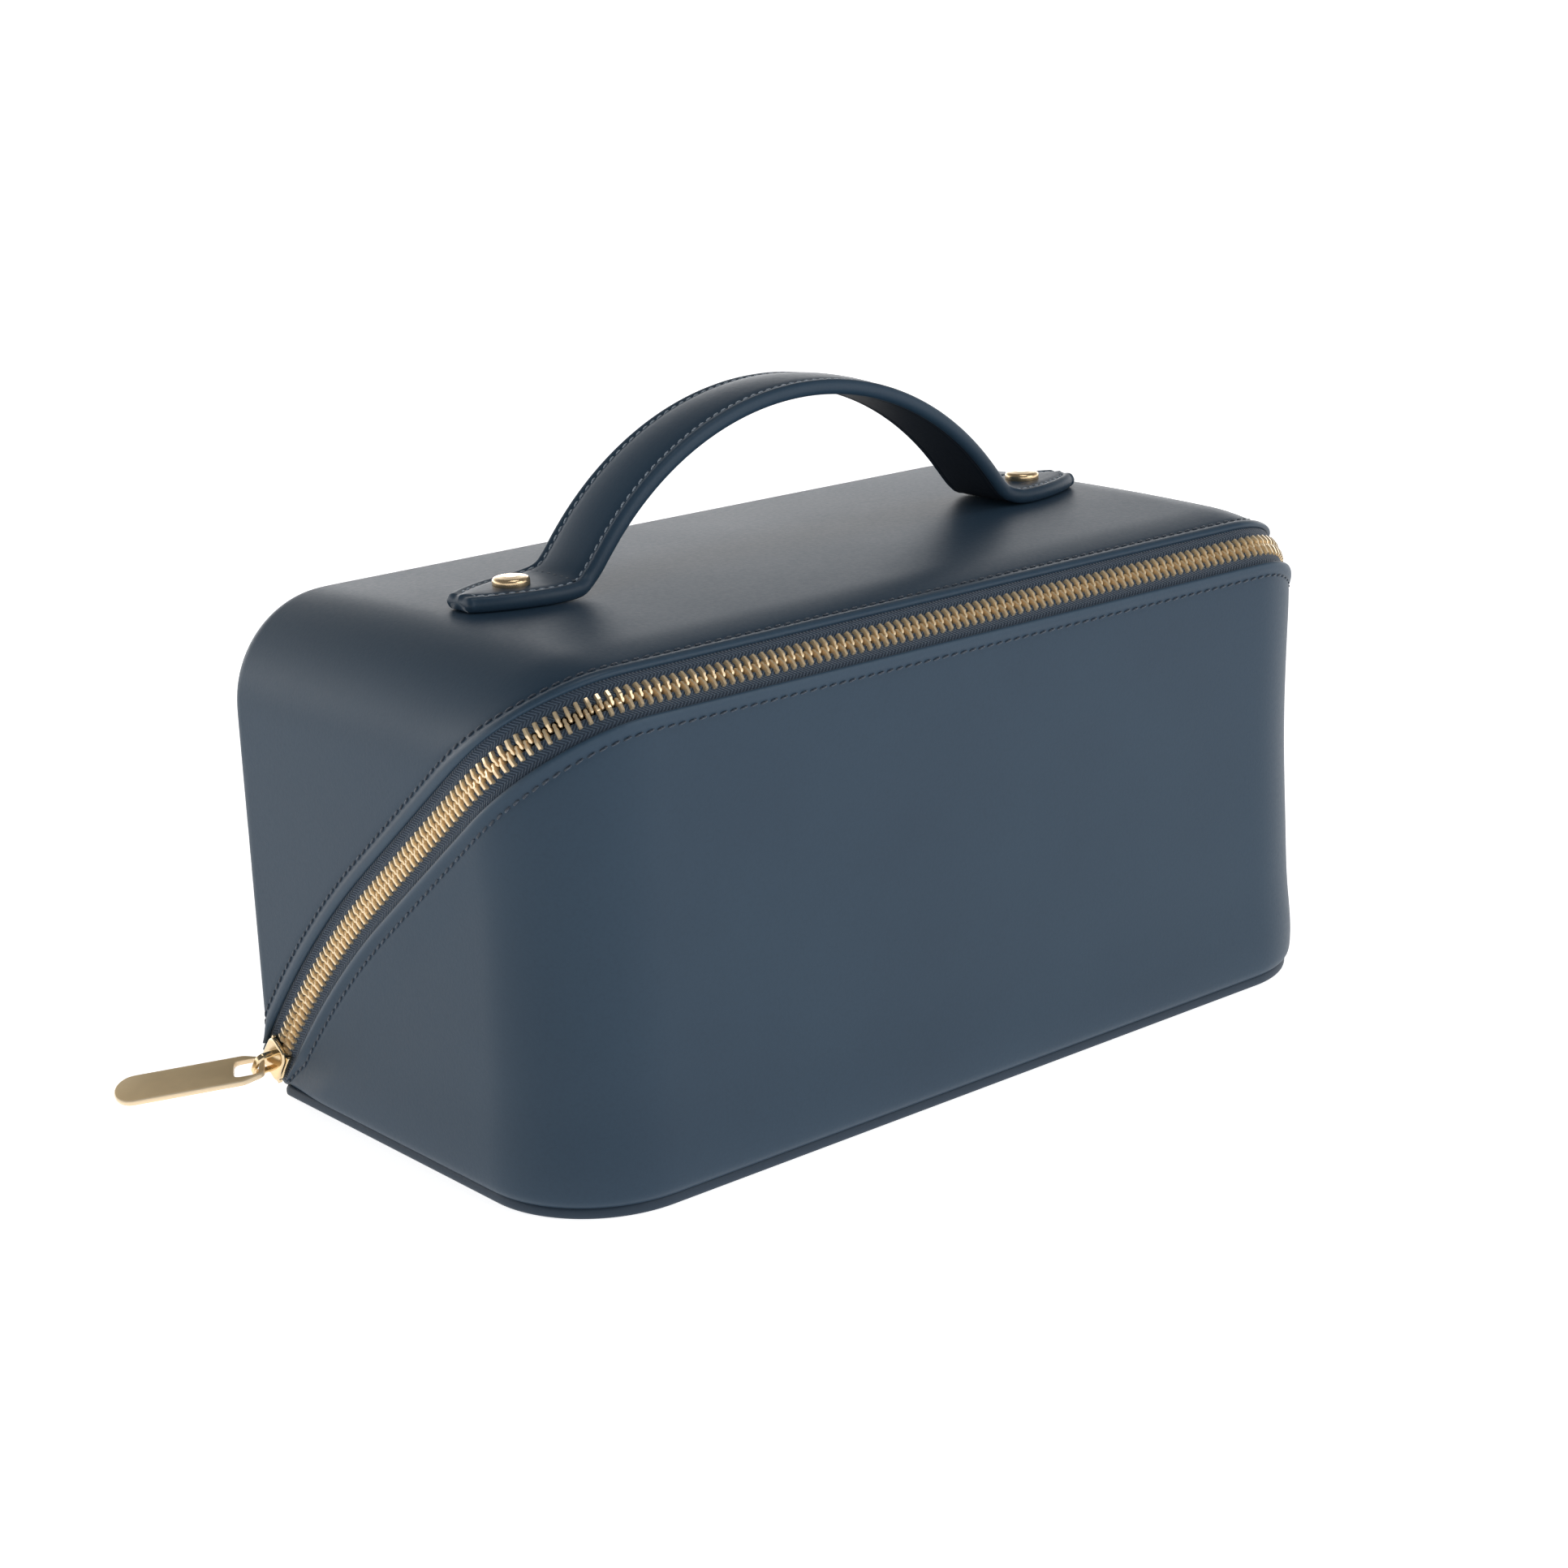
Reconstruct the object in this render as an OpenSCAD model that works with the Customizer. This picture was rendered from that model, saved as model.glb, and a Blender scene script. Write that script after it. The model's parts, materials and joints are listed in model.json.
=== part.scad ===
// Zippered train case pouch: a soft-stiff leather box whose lid (top, back and the
// upper halves of both ends) parts from its tray (base, front and the lower halves of
// the ends) along one zip, and turns on a leather fold at the back of the base.
// Frame: millimetres, +Z up, front towards -Y, origin under the middle of the base.

/* [Body] */
// Length of the body along X
body_w = 255; // [200:1:320]
// Depth of the body along Y
body_d = 131; // [105:1:170]
// Height of the body at the back edge of the top
body_h = 124.8; // [100:0.2:160]
// Rise of the middle of the top above its back edge
top_dome = 1.6; // [0.4:0.1:4]
// Radius of the upright corners at the front
front_corner_r = 29; // [15:0.5:40]
// Radius of the upright corners at the back
back_corner_r = 5; // [4.5:0.5:9]
// Radius where the top turns down into each end
end_top_r = 26; // [15:0.5:35]
// Radius along the back edge of the top
back_top_r = 5; // [4.5:0.5:9]

/* [Wall layers] */
// Thickness of the outer leather
leather_t = 1.2; // [0.8:0.1:1.6]
// Thickness of the stiffener board
board_t = 1.75; // [1:0.05:2.5]
// Thickness of the lining cloth
lining_t = 0.45; // [0.3:0.05:0.8]
// Gap left between neighbouring layers
layer_gap = 0.05; // [0.03:0.01:0.1]

/* [Zip line] */
// Height of the tray's lip on the front
front_lip_z = 115; // [100:1:118]
// Slope of the straight stretch of the zip on each end, in degrees
zip_slope = 39.3; // [36:0.1:42]
// Length of that straight stretch
zip_straight = 88; // [75:1:95]
// Radius of the zip's bend below the straight stretch
zip_bend_r = 287.5; // [250:0.5:330]
// Clear width of tape and teeth between the two lips
lip_gap = 12; // [11:0.1:14]
// Slope of the tape along the front, in degrees
front_band_slope = 42; // [36:1:50]
// Width of the rolled lips
welt_w = 2.6; // [2:0.1:3.2]
// How far the rolled lips stand proud of the leather
welt_rise = 0.6; // [0.3:0.1:0.8]

/* [Zip] */
// Spacing of the teeth along one tape
tooth_pitch = 2.54; // [2.3:0.01:2.9]
// Length of one tooth along the zip
tooth_l = 1.05; // [0.9:0.05:1.1]
// Width of the closed chain
chain_w = 6; // [5.4:0.1:6.4]
// Thickness of the teeth through the tape
tooth_t = 2.8; // [2.4:0.1:3]
// Thickness of the woven tape
tape_t = 0.7; // [0.5:0.05:0.9]
// Depth of the middle of the tape under the leather's face
tape_depth = 2; // [1.8:0.05:2.3]
// Width of tape sewn under each lip
tape_hidden = 4; // [3:0.1:5]

/* [Slider and pull tab] */
// Length of the slider
slider_l = 10; // [9.6:0.1:11]
// Rest position of the slider round the zip's bend, in degrees
slider_deg = 15; // [13:0.1:15.1]
// Width of the slider
slider_w = 8.4; // [8.2:0.1:9]
// Thickness of each slider blade
blade_t = 1.2; // [1:0.1:1.3]
// Height of the bridge's opening
bridge_h = 5; // [4.8:0.1:5.4]
// Length of the pull tab
tab_l = 37; // [30:1:40]
// Width of the pull tab
tab_w = 10; // [9:0.5:12]
// Thickness of the pull tab
tab_t = 1.6; // [1.3:0.1:1.7]

/* [Handle] */
// Width of the strap
strap_w = 22; // [16:1:28]
// Thickness of the whole strap
strap_t = 3.8; // [3.2:0.1:4.6]
// Outer radius of the strap's arch
arch_r = 83; // [70:1:90]
// Rise of the arch above the top of the body
arch_rise = 41.9; // [36:0.1:50]
// Distance of the strap's middle behind the middle of the body
strap_y = 6; // [-10:1:15]
// Distance from the middle to each end of the strap
strap_reach = 99; // [92:1:104]
// Distance from the middle to each rivet
rivet_x = 83.6; // [80:0.2:90]
// Radius of the rivet's cap
cap_r = 4.5; // [3.5:0.1:5]
// Radius of the rivet's post
post_r = 1.9; // [1.5:0.1:2.4]

/* [Base] */
// Height of the strip round the foot of the walls
foot_h = 2.6; // [2:0.1:3.5]
// Height of the hinge line above the floor
hinge_z = 2; // [1.8:0.1:2.4]

/* [Hidden] */

hw = body_w / 2;
hd = body_d / 2;
board_in = leather_t + layer_gap;                  // inset of the board's outer face
lining_in = board_in + board_t + layer_gap;        // inset of the lining's outer face
wall_t = lining_in + lining_t;                     // whole wall
corner_n = 12;                                     // flats round each corner
over = 400;                                        // longer than the body
half_gap = lip_gap / 2;
lip_o = half_gap + welt_w;                         // where the leather meets the rolled lip
seam_gap = 0.05;                                   // between the rolled lip and the leather
run_gap = 0.3;                                     // clearance of pieces that move
hinge_y = hd - hinge_z;                            // the fold lies flush with back and floor
fold_gap = 0.5;                                    // clearance round the fold
wall_z = foot_h + 0.4;                             // foot of the tray's leather
floor_t = 0.9;                                     // thickness of the base panel
notch_x = hw - 6.5;                                // the zip's ends pass outside this
notch_y = hd - 15.8;                               // and behind this
lid_corner_x = hw - 11.5;
lid_corner_z = 14;                                 // the lid's back corners end here
lid_foot_z = hinge_z * 2 + 0.7;                    // foot of the lid's back

slope_t = [-cos(zip_slope), sin(zip_slope)];       // along the zip, up and forward
slope_n = [sin(zip_slope), cos(zip_slope)];        // across it, towards the lid
front_lip = [-hd, front_lip_z];
band_dir = [cos(front_band_slope), sin(front_band_slope)];
lid_lip_front = front_lip + lip_gap * band_dir;
zip_top = front_lip + half_gap * slope_n;          // middle of the chain at the front
zip_bend = zip_top - zip_straight * slope_t;       // where the bend begins
bend_centre = zip_bend - zip_bend_r * slope_n;
bend_deg = 18.5;                                   // the bend runs past the floor

// Side view of the zip: s along the chain from the start of the bend, o towards the lid.
function bend_n(deg) = [sin(zip_slope + deg), cos(zip_slope + deg)];
function zip_side(s, o) = s >= 0
    ? zip_bend + s * slope_t + o * slope_n
    : bend_centre + (zip_bend_r + o) * bend_n(-s / zip_bend_r * 180 / PI);
function zip_angle(s) = zip_slope + (s >= 0 ? 0 : -s / zip_bend_r * 180 / PI);

function arc(c, r, a0, a1, n = corner_n) =
    [for (k = [0:n]) c + r * [cos(a0 + (a1 - a0) * k / n), sin(a0 + (a1 - a0) * k / n)]];
function meet(p, d, q, e) = p + d * (cross(e, p - q) / cross(d, e));

// The body's three outlines, each drawn i inside the leather's outer face.
function plan_points(i) = concat(
    arc([-hw + front_corner_r, -hd + front_corner_r], front_corner_r - i, 180, 270),
    arc([hw - front_corner_r, -hd + front_corner_r], front_corner_r - i, 270, 360),
    arc([hw - back_corner_r, hd - back_corner_r], back_corner_r - i, 0, 90, 5),
    arc([-hw + back_corner_r, hd - back_corner_r], back_corner_r - i, 90, 180, 5));

function end_points(i) = concat(
    [[-hw + i, -1], [hw - i, -1]],
    arc([hw - end_top_r, body_h + top_dome - end_top_r], end_top_r - i, 0, 90),
    arc([-hw + end_top_r, body_h + top_dome - end_top_r], end_top_r - i, 90, 180));

top_half = hd - back_top_r;
function top_z(y) = body_h + top_dome * (1 - pow(y / top_half, 2));
lid_shoulder = [-top_half * 0.83, top_z(-top_half * 0.83)];
function side_points(i) =
    let (
        band_in = i * [band_dir[1], -band_dir[0]],
        brow = lid_shoulder - lid_lip_front,
        brow_dir = brow / norm(brow),
        brow_in = i * [brow_dir[1], -brow_dir[0]])
    concat(
        [[-hd + i, -1]],
        [meet([-hd + i, 0], [0, 1], front_lip + band_in, band_dir)],
        [meet(front_lip + band_in, band_dir, lid_lip_front + brow_in, brow_dir)],
        [for (k = [0:8]) let (y = lid_shoulder[0] + (top_half - lid_shoulder[0]) * k / 8)
            [y, top_z(y) - i]],
        arc([hd - back_top_r, body_h - back_top_r], back_top_r - i, 80, 0, 5),
        [[hd - i, -1]]);

module form(i) {
    intersection() {
        translate([0, 0, -0.5]) linear_extrude(body_h + 10) polygon(plan_points(i));
        rotate([90, 0, 0]) linear_extrude(over, center = true) polygon(end_points(i));
        side_prism(side_points(i));
    }
}

// A side-view outline, (y, z) points, carried right through the body along X.
module side_prism(points, w = over) {
    rotate([90, 0, 90]) linear_extrude(w, center = true) polygon(points);
}

zip_n = 16;
zip_s0 = -bend_deg * PI / 180 * zip_bend_r;
function zip_edge(o) = concat(
    [for (k = [0:zip_n]) zip_side(zip_s0 * (1 - k / zip_n), o)],
    [zip_side(zip_straight + 60, o)]);

// Everything on the tray's side of the zip line offset by o, and on the lid's side.
module below(o) {
    side_prism(concat(zip_edge(o), [[-over, over], [-over, -over], [zip_edge(o)[0][0], -over]]));
}
module above(o) {
    side_prism(concat(zip_edge(o),
        [[-hd, over], [over, over], [over, -over], [zip_edge(o)[0][0], -over]]));
}

module shell(i, t) {
    difference() {
        form(i);
        form(i + t);
    }
}

module higher(z) { translate([-over / 2, -over / 2, z]) cube([over, over, over]); }
module ahead_of(y) { translate([-over / 2, y - over, -over / 2]) cube([over, over, over]); }

module tray_wall(i, t, o, z) {
    intersection() {
        shell(i, t);
        below(o);
        higher(z);
        ahead_of(hd - back_corner_r - 0.1);
    }
}

module lid_wall(i, t, o, z) {
    difference() {
        intersection() {
            shell(i, t);
            above(o);
            higher(z);
        }
        lid_corners();
    }
}

// The lid's back corners end above the slider.
module lid_corners() {
    for (side = [-1, 1])
        translate([side * (lid_corner_x + over / 2), hd, lid_corner_z - over / 2])
            cube([over, 40, over], center = true);
}

// ---- Tray ----
module tray_skin() {
    color("#394a5c") tray_wall(0, leather_t, -lip_o - seam_gap, wall_z);
}

module tray_lip() {
    color("#394a5c") difference() {
        tray_wall(-welt_rise, leather_t + welt_rise, -half_gap, wall_z);
        below(-lip_o);
    }
}

module tray_board() {
    color("#8a8478") tray_wall(board_in, board_t, -half_gap - tape_hidden - run_gap, wall_t + 0.1);
}

module tray_lining() {
    color("#2b3040") tray_wall(lining_in, lining_t, -half_gap, wall_t + 0.1);
}

// ---- Base ----
module base_slab(i, z, t) {
    difference() {
        intersection() {
            translate([0, 0, z]) linear_extrude(t) polygon(plan_points(i));
            ahead_of(hinge_y - hinge_z - fold_gap);
        }
        for (side = [-1, 1])
            translate([side * (notch_x + over / 2), notch_y + over / 2, 0])
                cube([over, over, 40], center = true);
    }
}

module base_foot_strip() {
    color("#33424f") difference() {
        base_slab(0, 0, foot_h);
        base_slab(2.2, -1, foot_h + 2);
    }
}

module base_panel() {
    color("#33424f") base_slab(2.3, 0, floor_t);
}

module base_board() {
    color("#8a8478") base_slab(2.3, floor_t + layer_gap, wall_t - floor_t - lining_t - 2 * layer_gap);
}

module base_lining() {
    color("#2b3040") base_slab(wall_t - lining_t, wall_t - lining_t, lining_t);
}

module hinge_fold() {
    color("#33424f") translate([0, hinge_y, hinge_z]) rotate([0, 90, 0])
        cylinder(r = hinge_z, h = 2 * lid_corner_x, center = true, $fn = 48);
}

// ---- Lid ----
back_x = hw - 8;                                   // half width of the back panel
back_top = body_h - 8;

module rivet_holes(r = post_r + 0.1) {
    for (side = [-1, 1])
        translate([side * rivet_x, strap_y, body_h - 20]) cylinder(r = r, h = 60, $fn = 32);
}

module back_space(t, grow) {
    translate([-back_x - grow, hd - t, -1]) cube([2 * (back_x + grow), over, back_top + grow + 1]);
}

module lid_skin() {
    color("#394a5c") difference() {
        lid_wall(0, leather_t, lip_o + seam_gap, lid_foot_z);
        back_space(leather_t + 0.01, seam_gap);
        rivet_holes();
    }
}

module lid_back_panel() {
    color("#394a5c") difference() {
        intersection() {
            form(0);
            translate([-back_x, hd - leather_t, lid_foot_z])
                cube([2 * back_x, over, back_top - lid_foot_z]);
        }
        lid_corners();
    }
}

module lid_lip() {
    color("#394a5c") intersection() {
        difference() {
            lid_wall(-welt_rise, leather_t + welt_rise, half_gap, lid_corner_z);
            above(lip_o);
        }
        ahead_of(hd - leather_t - seam_gap);
    }
}

module lid_board() {
    color("#8a8478") difference() {
        lid_wall(board_in, board_t, half_gap + tape_hidden + run_gap, lid_corner_z);
        translate([-over / 2, hd - board_in - board_t - 0.01, -1]) cube([over, over, over]);
        rivet_holes();
    }
}

module lid_back_board() {
    color("#8a8478") difference() {
        intersection() {
            form(board_in);
            translate([-back_x, hd - board_in - board_t, lid_foot_z + 1])
                cube([2 * back_x, over, back_top - lid_foot_z - 1]);
        }
        lid_corners();
    }
}

module lid_lining() {
    color("#2b3040") difference() {
        lid_wall(lining_in, lining_t, half_gap, lid_foot_z + 1);
        rivet_holes();
    }
}

// ---- Zip tapes and teeth ----
tape_edge = 1.4;                                   // half the gap between the two tapes
slot_edge = 1;                                     // the teeth's slots reach further in
module tape_shell() {
    intersection() {
        shell(tape_depth - tape_t / 2, tape_t);
        higher(hinge_z);
        ahead_of(hd - back_corner_r);
    }
}

module zip_tape_lower() {
    color("#3c4a66") difference() {
        intersection() {
            tape_shell();
            below(-tape_edge);
        }
        below(-half_gap - tape_hidden);
    }
}

module zip_tape_upper() {
    color("#3c4a66") difference() {
        intersection() {
            tape_shell();
            above(tape_edge);
        }
        above(half_gap + tape_hidden);
    }
}

slider_s = -slider_deg * PI / 180 * zip_bend_r;          // middle of the slider on the zip
chain_s0 = slider_s + slider_l / 2 + run_gap;      // first tooth, just clear of the slider
chain_r = front_corner_r - tape_depth;             // the chain's bend at the front corners
chain_y = -hd + front_corner_r;
band_mid = front_lip + half_gap * band_dir + tape_depth * [band_dir[1], -band_dir[0]];
turn_deg = asin((chain_y - band_mid[0]) / chain_r);// turn at which the chain reaches the front
corner_s = (zip_bend[0] - chain_y) / cos(zip_slope);
turn_k = 24;                                       // steps that measure the chain's turn
function turn_slope(g) = atan(cos(g) * tan(zip_slope));
turn_table = [for (k = 0, s = 0; k <= turn_k;
    s = s + chain_r * turn_deg / turn_k * PI / 180
        / cos(turn_slope(turn_deg * (k + 0.5) / turn_k)), k = k + 1)
    [s, turn_deg * k / turn_k]];
turn_l = turn_table[turn_k][0];
front_x = hw - front_corner_r + chain_r * cos(turn_deg);

slot_half = tape_t / 2 + 0.02;

// A tooth in its own frame: X along the zip, Y across it to its own tape, Z outwards.
module tooth() {
    rotate([90, 0, 90]) linear_extrude(tooth_l, center = true)
        polygon([[-0.55, -tooth_t / 2 + 0.5], [0.6, -tooth_t / 2], [chain_w / 2, -tooth_t / 2],
            [chain_w / 2, -slot_half], [slot_edge, -slot_half],
            [slot_edge, slot_half], [chain_w / 2, slot_half],
            [chain_w / 2, tooth_t / 2], [0.6, tooth_t / 2], [-0.55, tooth_t / 2 - 0.5]]);
}

// Places its children on the middle of the zip on the left end, s from the start of the bend.
module on_end(s) {
    p = zip_side(s, 0);
    a = zip_angle(s);
    multmatrix([[0, 0, -1, -hw + tape_depth], [-cos(a), sin(a), 0, p[0]], [sin(a), cos(a), 0, p[1]]])
        children();
}

// The same round the front left corner, turned by g degrees from the end towards the front.
module on_corner(g) {
    y = chain_y - chain_r * sin(g);
    z = zip_bend[1] + (zip_bend[0] - y) * tan(zip_slope);
    a = turn_slope(g);
    translate([-hw + front_corner_r - chain_r * cos(g), y, z])
        rotate([0, 0, g])
            multmatrix([[0, 0, -1, 0], [-cos(a), sin(a), 0, 0], [sin(a), cos(a), 0, 0]])
                children();
}

module on_front(x) {
    translate([x, band_mid[0], band_mid[1]]) rotate([front_band_slope, 0, 0]) children();
}

module teeth(half_step, lid_side) {
    end_n = floor((corner_s - chain_s0) / tooth_pitch);
    turn_n = floor(turn_l / tooth_pitch);
    front_n = floor(2 * front_x / tooth_pitch) - 1;
    for (side = [0, 1]) mirror([side, 0, 0]) {
        for (k = [0:end_n - 1]) on_end(chain_s0 + (k + 0.5 + half_step / 2) * tooth_pitch)
            mirror([0, lid_side ? 0 : 1, 0]) tooth();
        for (k = [0:turn_n - 1]) on_corner(lookup((k + 0.5 + half_step / 2) * turn_l / turn_n, turn_table))
            mirror([0, lid_side ? 0 : 1, 0]) tooth();
    }
    for (k = [0:front_n - 1])
        on_front((k - (front_n - 1) / 2 + half_step / 2) * tooth_pitch)
            mirror([0, lid_side ? 0 : 1, 0]) tooth();
}

module zip_teeth_lower() { color("#c9a468") teeth(0, false); }
module zip_teeth_upper() { color("#c9a468") teeth(1, true); }

// Crimped stops: a short one on the tray's tape just past the slider, and a long one
// across both tapes at the other end, loose on the lid's tape.
stop_l = 1.2;
end_stop_l = 4;
module stop(l, y0, y1, slot) {
    difference() {
        translate([-l / 2, y0, -tooth_t / 2]) cube([l, y1 - y0, tooth_t]);
        translate([-l, -over - slot_edge, -slot_half]) cube([2 * l, over, 2 * slot_half]);
        translate([-l, slot_edge, -slot / 2]) cube([2 * l, over, slot]);
    }
}

module zip_top_stop() {
    color("#c9a468") on_end(slider_s - (slider_l + stop_l) / 2 - run_gap)
        stop(stop_l, -chain_w / 2, 0.2 - slot_edge, tape_t);
}

module zip_bottom_stop() {
    color("#c9a468") mirror([1, 0, 0]) on_end(chain_s0 - run_gap - end_stop_l / 2)
        stop(end_stop_l, -chain_w / 2, chain_w / 2, tape_t + 2 * run_gap);
}

// ---- Handle ----
top_mid = body_h + top_dome;
strap_z = top_mid + layer_gap;                     // underside of the strap's tabs
arch_z = top_mid + arch_rise - arch_r;             // centre of the arch
layers = [0, 1.2, strap_t - 1.2, strap_t];         // under leather, core, top leather

flare_x = [66, 72];                                // the strap widens between these, at its bends
flare = 1.3;
tip_half = 4;                                      // half width of the blunt tips
leaf_l = strap_reach - flare_x[1];
function strap_half(x) = x < flare_x[0] ? strap_w / 2
    : x < flare_x[1] ? strap_w / 2 + flare * (1 - cos(180 * (x - flare_x[0]) / (flare_x[1] - flare_x[0]))) / 2
    : tip_half + (strap_w / 2 + flare - tip_half) * pow(cos(90 * (x - flare_x[1]) / leaf_l), 0.7);
strap_xs = concat([0], [for (k = [0:3]) flare_x[0] + 2 * k], [for (k = [1:9]) flare_x[1] + leaf_l * k / 9]);
strap_side = [for (x = strap_xs) [x, strap_half(x)]];
function flip(points, sx, sy) = [for (p = points) [sx * p[0], sy * p[1]]];
function back_over(points) = [for (k = [len(points) - 1:-1:1]) points[k]];

module strap_plan() {
    translate([0, strap_y, 0]) linear_extrude(over)
        polygon(concat(strap_side, back_over(flip(strap_side, 1, -1)),
            flip(strap_side, -1, -1), back_over(flip(strap_side, -1, 1))));
}

module strap_layer(k) {
    lo = strap_z + layers[k] + (k > 0 ? 0.02 : 0);
    hi = strap_z + layers[k + 1];
    r_in = arch_r - strap_t + layers[k] + (k > 0 ? 0.02 : 0);
    r_out = arch_r - strap_t + layers[k + 1];
    intersection() {
        translate([0, strap_y + over / 2, 0]) rotate([90, 0, 0]) linear_extrude(over)
            difference() {
                union() {
                    intersection() {
                        translate([0, arch_z]) circle(r = r_out, $fn = 180);
                        translate([-over / 2, lo]) square([over, over]);
                    }
                    translate([-strap_reach, lo]) square([2 * strap_reach, hi - lo]);
                }
                translate([0, arch_z]) circle(r = r_in, $fn = 180);
            }
        strap_plan();
    }
}

module strap_leather(k) {
    difference() {
        strap_layer(k);
        rivet_holes();
    }
}

module handle_top_leather() { color("#394a5c") strap_leather(2); }
module handle_core() { color("#8a8478") strap_leather(1); }
module handle_under_leather() { color("#394a5c") strap_leather(0); }

cap_z = strap_z + strap_t;
module each_rivet() {
    for (side = [-1, 1]) translate([side * rivet_x, strap_y, 0]) children();
}

module rivet_caps() {
    color("#c9a468") each_rivet() translate([0, 0, cap_z]) {
        cylinder(r = cap_r, h = 1.5, $fn = 48);
        translate([0, 0, 1.5]) cylinder(r1 = cap_r, r2 = cap_r - 0.8, h = 0.7, $fn = 48);
    }
}

post_z = top_mid - wall_t - 1;
module rivet_posts() {
    color("#b8935a") each_rivet() translate([0, 0, post_z])
        cylinder(r = post_r, h = cap_z - post_z, $fn = 32);
}

module rivet_washers() {
    color("#b8935a") each_rivet() translate([0, 0, post_z - 0.4]) difference() {
        cylinder(r = 5, h = 1.2, $fn = 48);
        translate([0, 0, 0.4]) cylinder(r = post_r + 0.02, h = 2, $fn = 32);
    }
}

// ---- Slider and pull tab ----
blade_z = tooth_t / 2 + 0.25;                      // inner face of each blade
blade_points = [[-slider_l / 2, -slider_w / 2 + 0.8], [-slider_l / 2 + 0.8, -slider_w / 2],
    [slider_l / 2 - 1.5, -slider_w / 2 + 0.2], [slider_l / 2, -slider_w / 2 + 1.4],
    [slider_l / 2, slider_w / 2 - 1.4], [slider_l / 2 - 1.5, slider_w / 2 - 0.2],
    [-slider_l / 2 + 0.8, slider_w / 2], [-slider_l / 2, slider_w / 2 - 0.8]];
flange_in = chain_w / 2 + 0.4;

module slider_half() {
    translate([0, 0, blade_z]) linear_extrude(blade_t) polygon(blade_points);
    translate([0, 0, tape_t / 2 + run_gap]) linear_extrude(blade_z - tape_t / 2 - run_gap) difference() {
        polygon(blade_points);
        square([slider_l + 1, 2 * flange_in], center = true);
    }
}

module slider_body() {
    color("#c9a468") on_end(slider_s) {
        slider_half();
        mirror([0, 0, 1]) slider_half();
        translate([-slider_l / 2, -0.7, -blade_z]) cube([2.6, 1.4, 2 * blade_z]);
    }
}

bridge_z = blade_z + blade_t;
bridge_x = [-5, 2.8];                              // outer faces of the bridge's two legs
leg_t = 0.9;
bridge_w = 1.4;
module slider_bridge() {
    color("#c9a468") on_end(slider_s) rotate([90, 0, 0]) linear_extrude(bridge_w, center = true)
        polygon([[bridge_x[0], bridge_z], [bridge_x[0], bridge_z + bridge_h - 0.6],
            [bridge_x[0] + 1.6, bridge_z + bridge_h + leg_t],
            [bridge_x[1] - 1.6, bridge_z + bridge_h + leg_t],
            [bridge_x[1], bridge_z + bridge_h - 0.6], [bridge_x[1], bridge_z],
            [bridge_x[1] - leg_t, bridge_z], [bridge_x[1] - leg_t, bridge_z + bridge_h - 0.8],
            [bridge_x[1] - 1.9, bridge_z + bridge_h], [bridge_x[0] + 1.9, bridge_z + bridge_h],
            [bridge_x[0] + leg_t, bridge_z + bridge_h - 0.8], [bridge_x[0] + leg_t, bridge_z]]);
}

bar_r = 0.7;
bar_at = [-1.6, 0, bridge_z + bridge_h * 0.6];     // the tab's end bar, inside the bridge
tab_yaw = 35;                                      // the tab lies turned towards the back,
tab_dip = 7;                                       // slopes down to the floor
tab_roll = -20;                                    // and leans forward
slider_p = zip_side(slider_s, 0);
slider_a = zip_angle(slider_s);
bar_world = [-hw + tape_depth - bar_at[2],
    slider_p[0] - cos(slider_a) * bar_at[0], slider_p[1] + sin(slider_a) * bar_at[0]];
window_l = 6.4;
rail_t = 1.3;
rail_in = 2.5;                                     // half length of the bar
rail_out = rail_in + 0.8;
near_l = 4.5;                                      // the tab reaches its full width here
tab_end = tab_l - tab_w / 2;

module tab_plan(t) {
    linear_extrude(t, center = true) difference() {
        union() {
            polygon([[-bar_r, 0.8 - rail_out], [0, -rail_out], [near_l, -tab_w / 2], [tab_end, -tab_w / 2],
                [tab_end, tab_w / 2], [near_l, tab_w / 2], [0, rail_out], [-bar_r, rail_out - 0.8]]);
            translate([tab_end, 0]) circle(d = tab_w, $fn = 48);
        }
        polygon([[bar_r, -rail_in], [window_l, rail_t + 0.3 - tab_w / 2], [window_l + 0.4, 0],
            [window_l, tab_w / 2 - rail_t - 0.3], [bar_r, rail_in]]);
    }
}

module pull_tab() {
    color("#c9a468") translate(bar_world) rotate([0, 0, 180 - tab_yaw])
        rotate([0, tab_dip, 0]) rotate([tab_roll, 0, 0]) tab_plan(tab_t);
}

tray_skin();
tray_board();
tray_lining();
tray_lip();
base_panel();
base_board();
base_lining();
base_foot_strip();
hinge_fold();
zip_tape_lower();
zip_teeth_lower();
zip_top_stop();
zip_bottom_stop();
lid_skin();
lid_back_panel();
lid_board();
lid_back_board();
lid_lining();
lid_lip();
zip_tape_upper();
zip_teeth_upper();
handle_top_leather();
handle_core();
handle_under_leather();
rivet_caps();
rivet_posts();
rivet_washers();
slider_body();
slider_bridge();
pull_tab();
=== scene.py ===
import json
import math
import bpy
import numpy as np
from mathutils import Matrix, Vector


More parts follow.
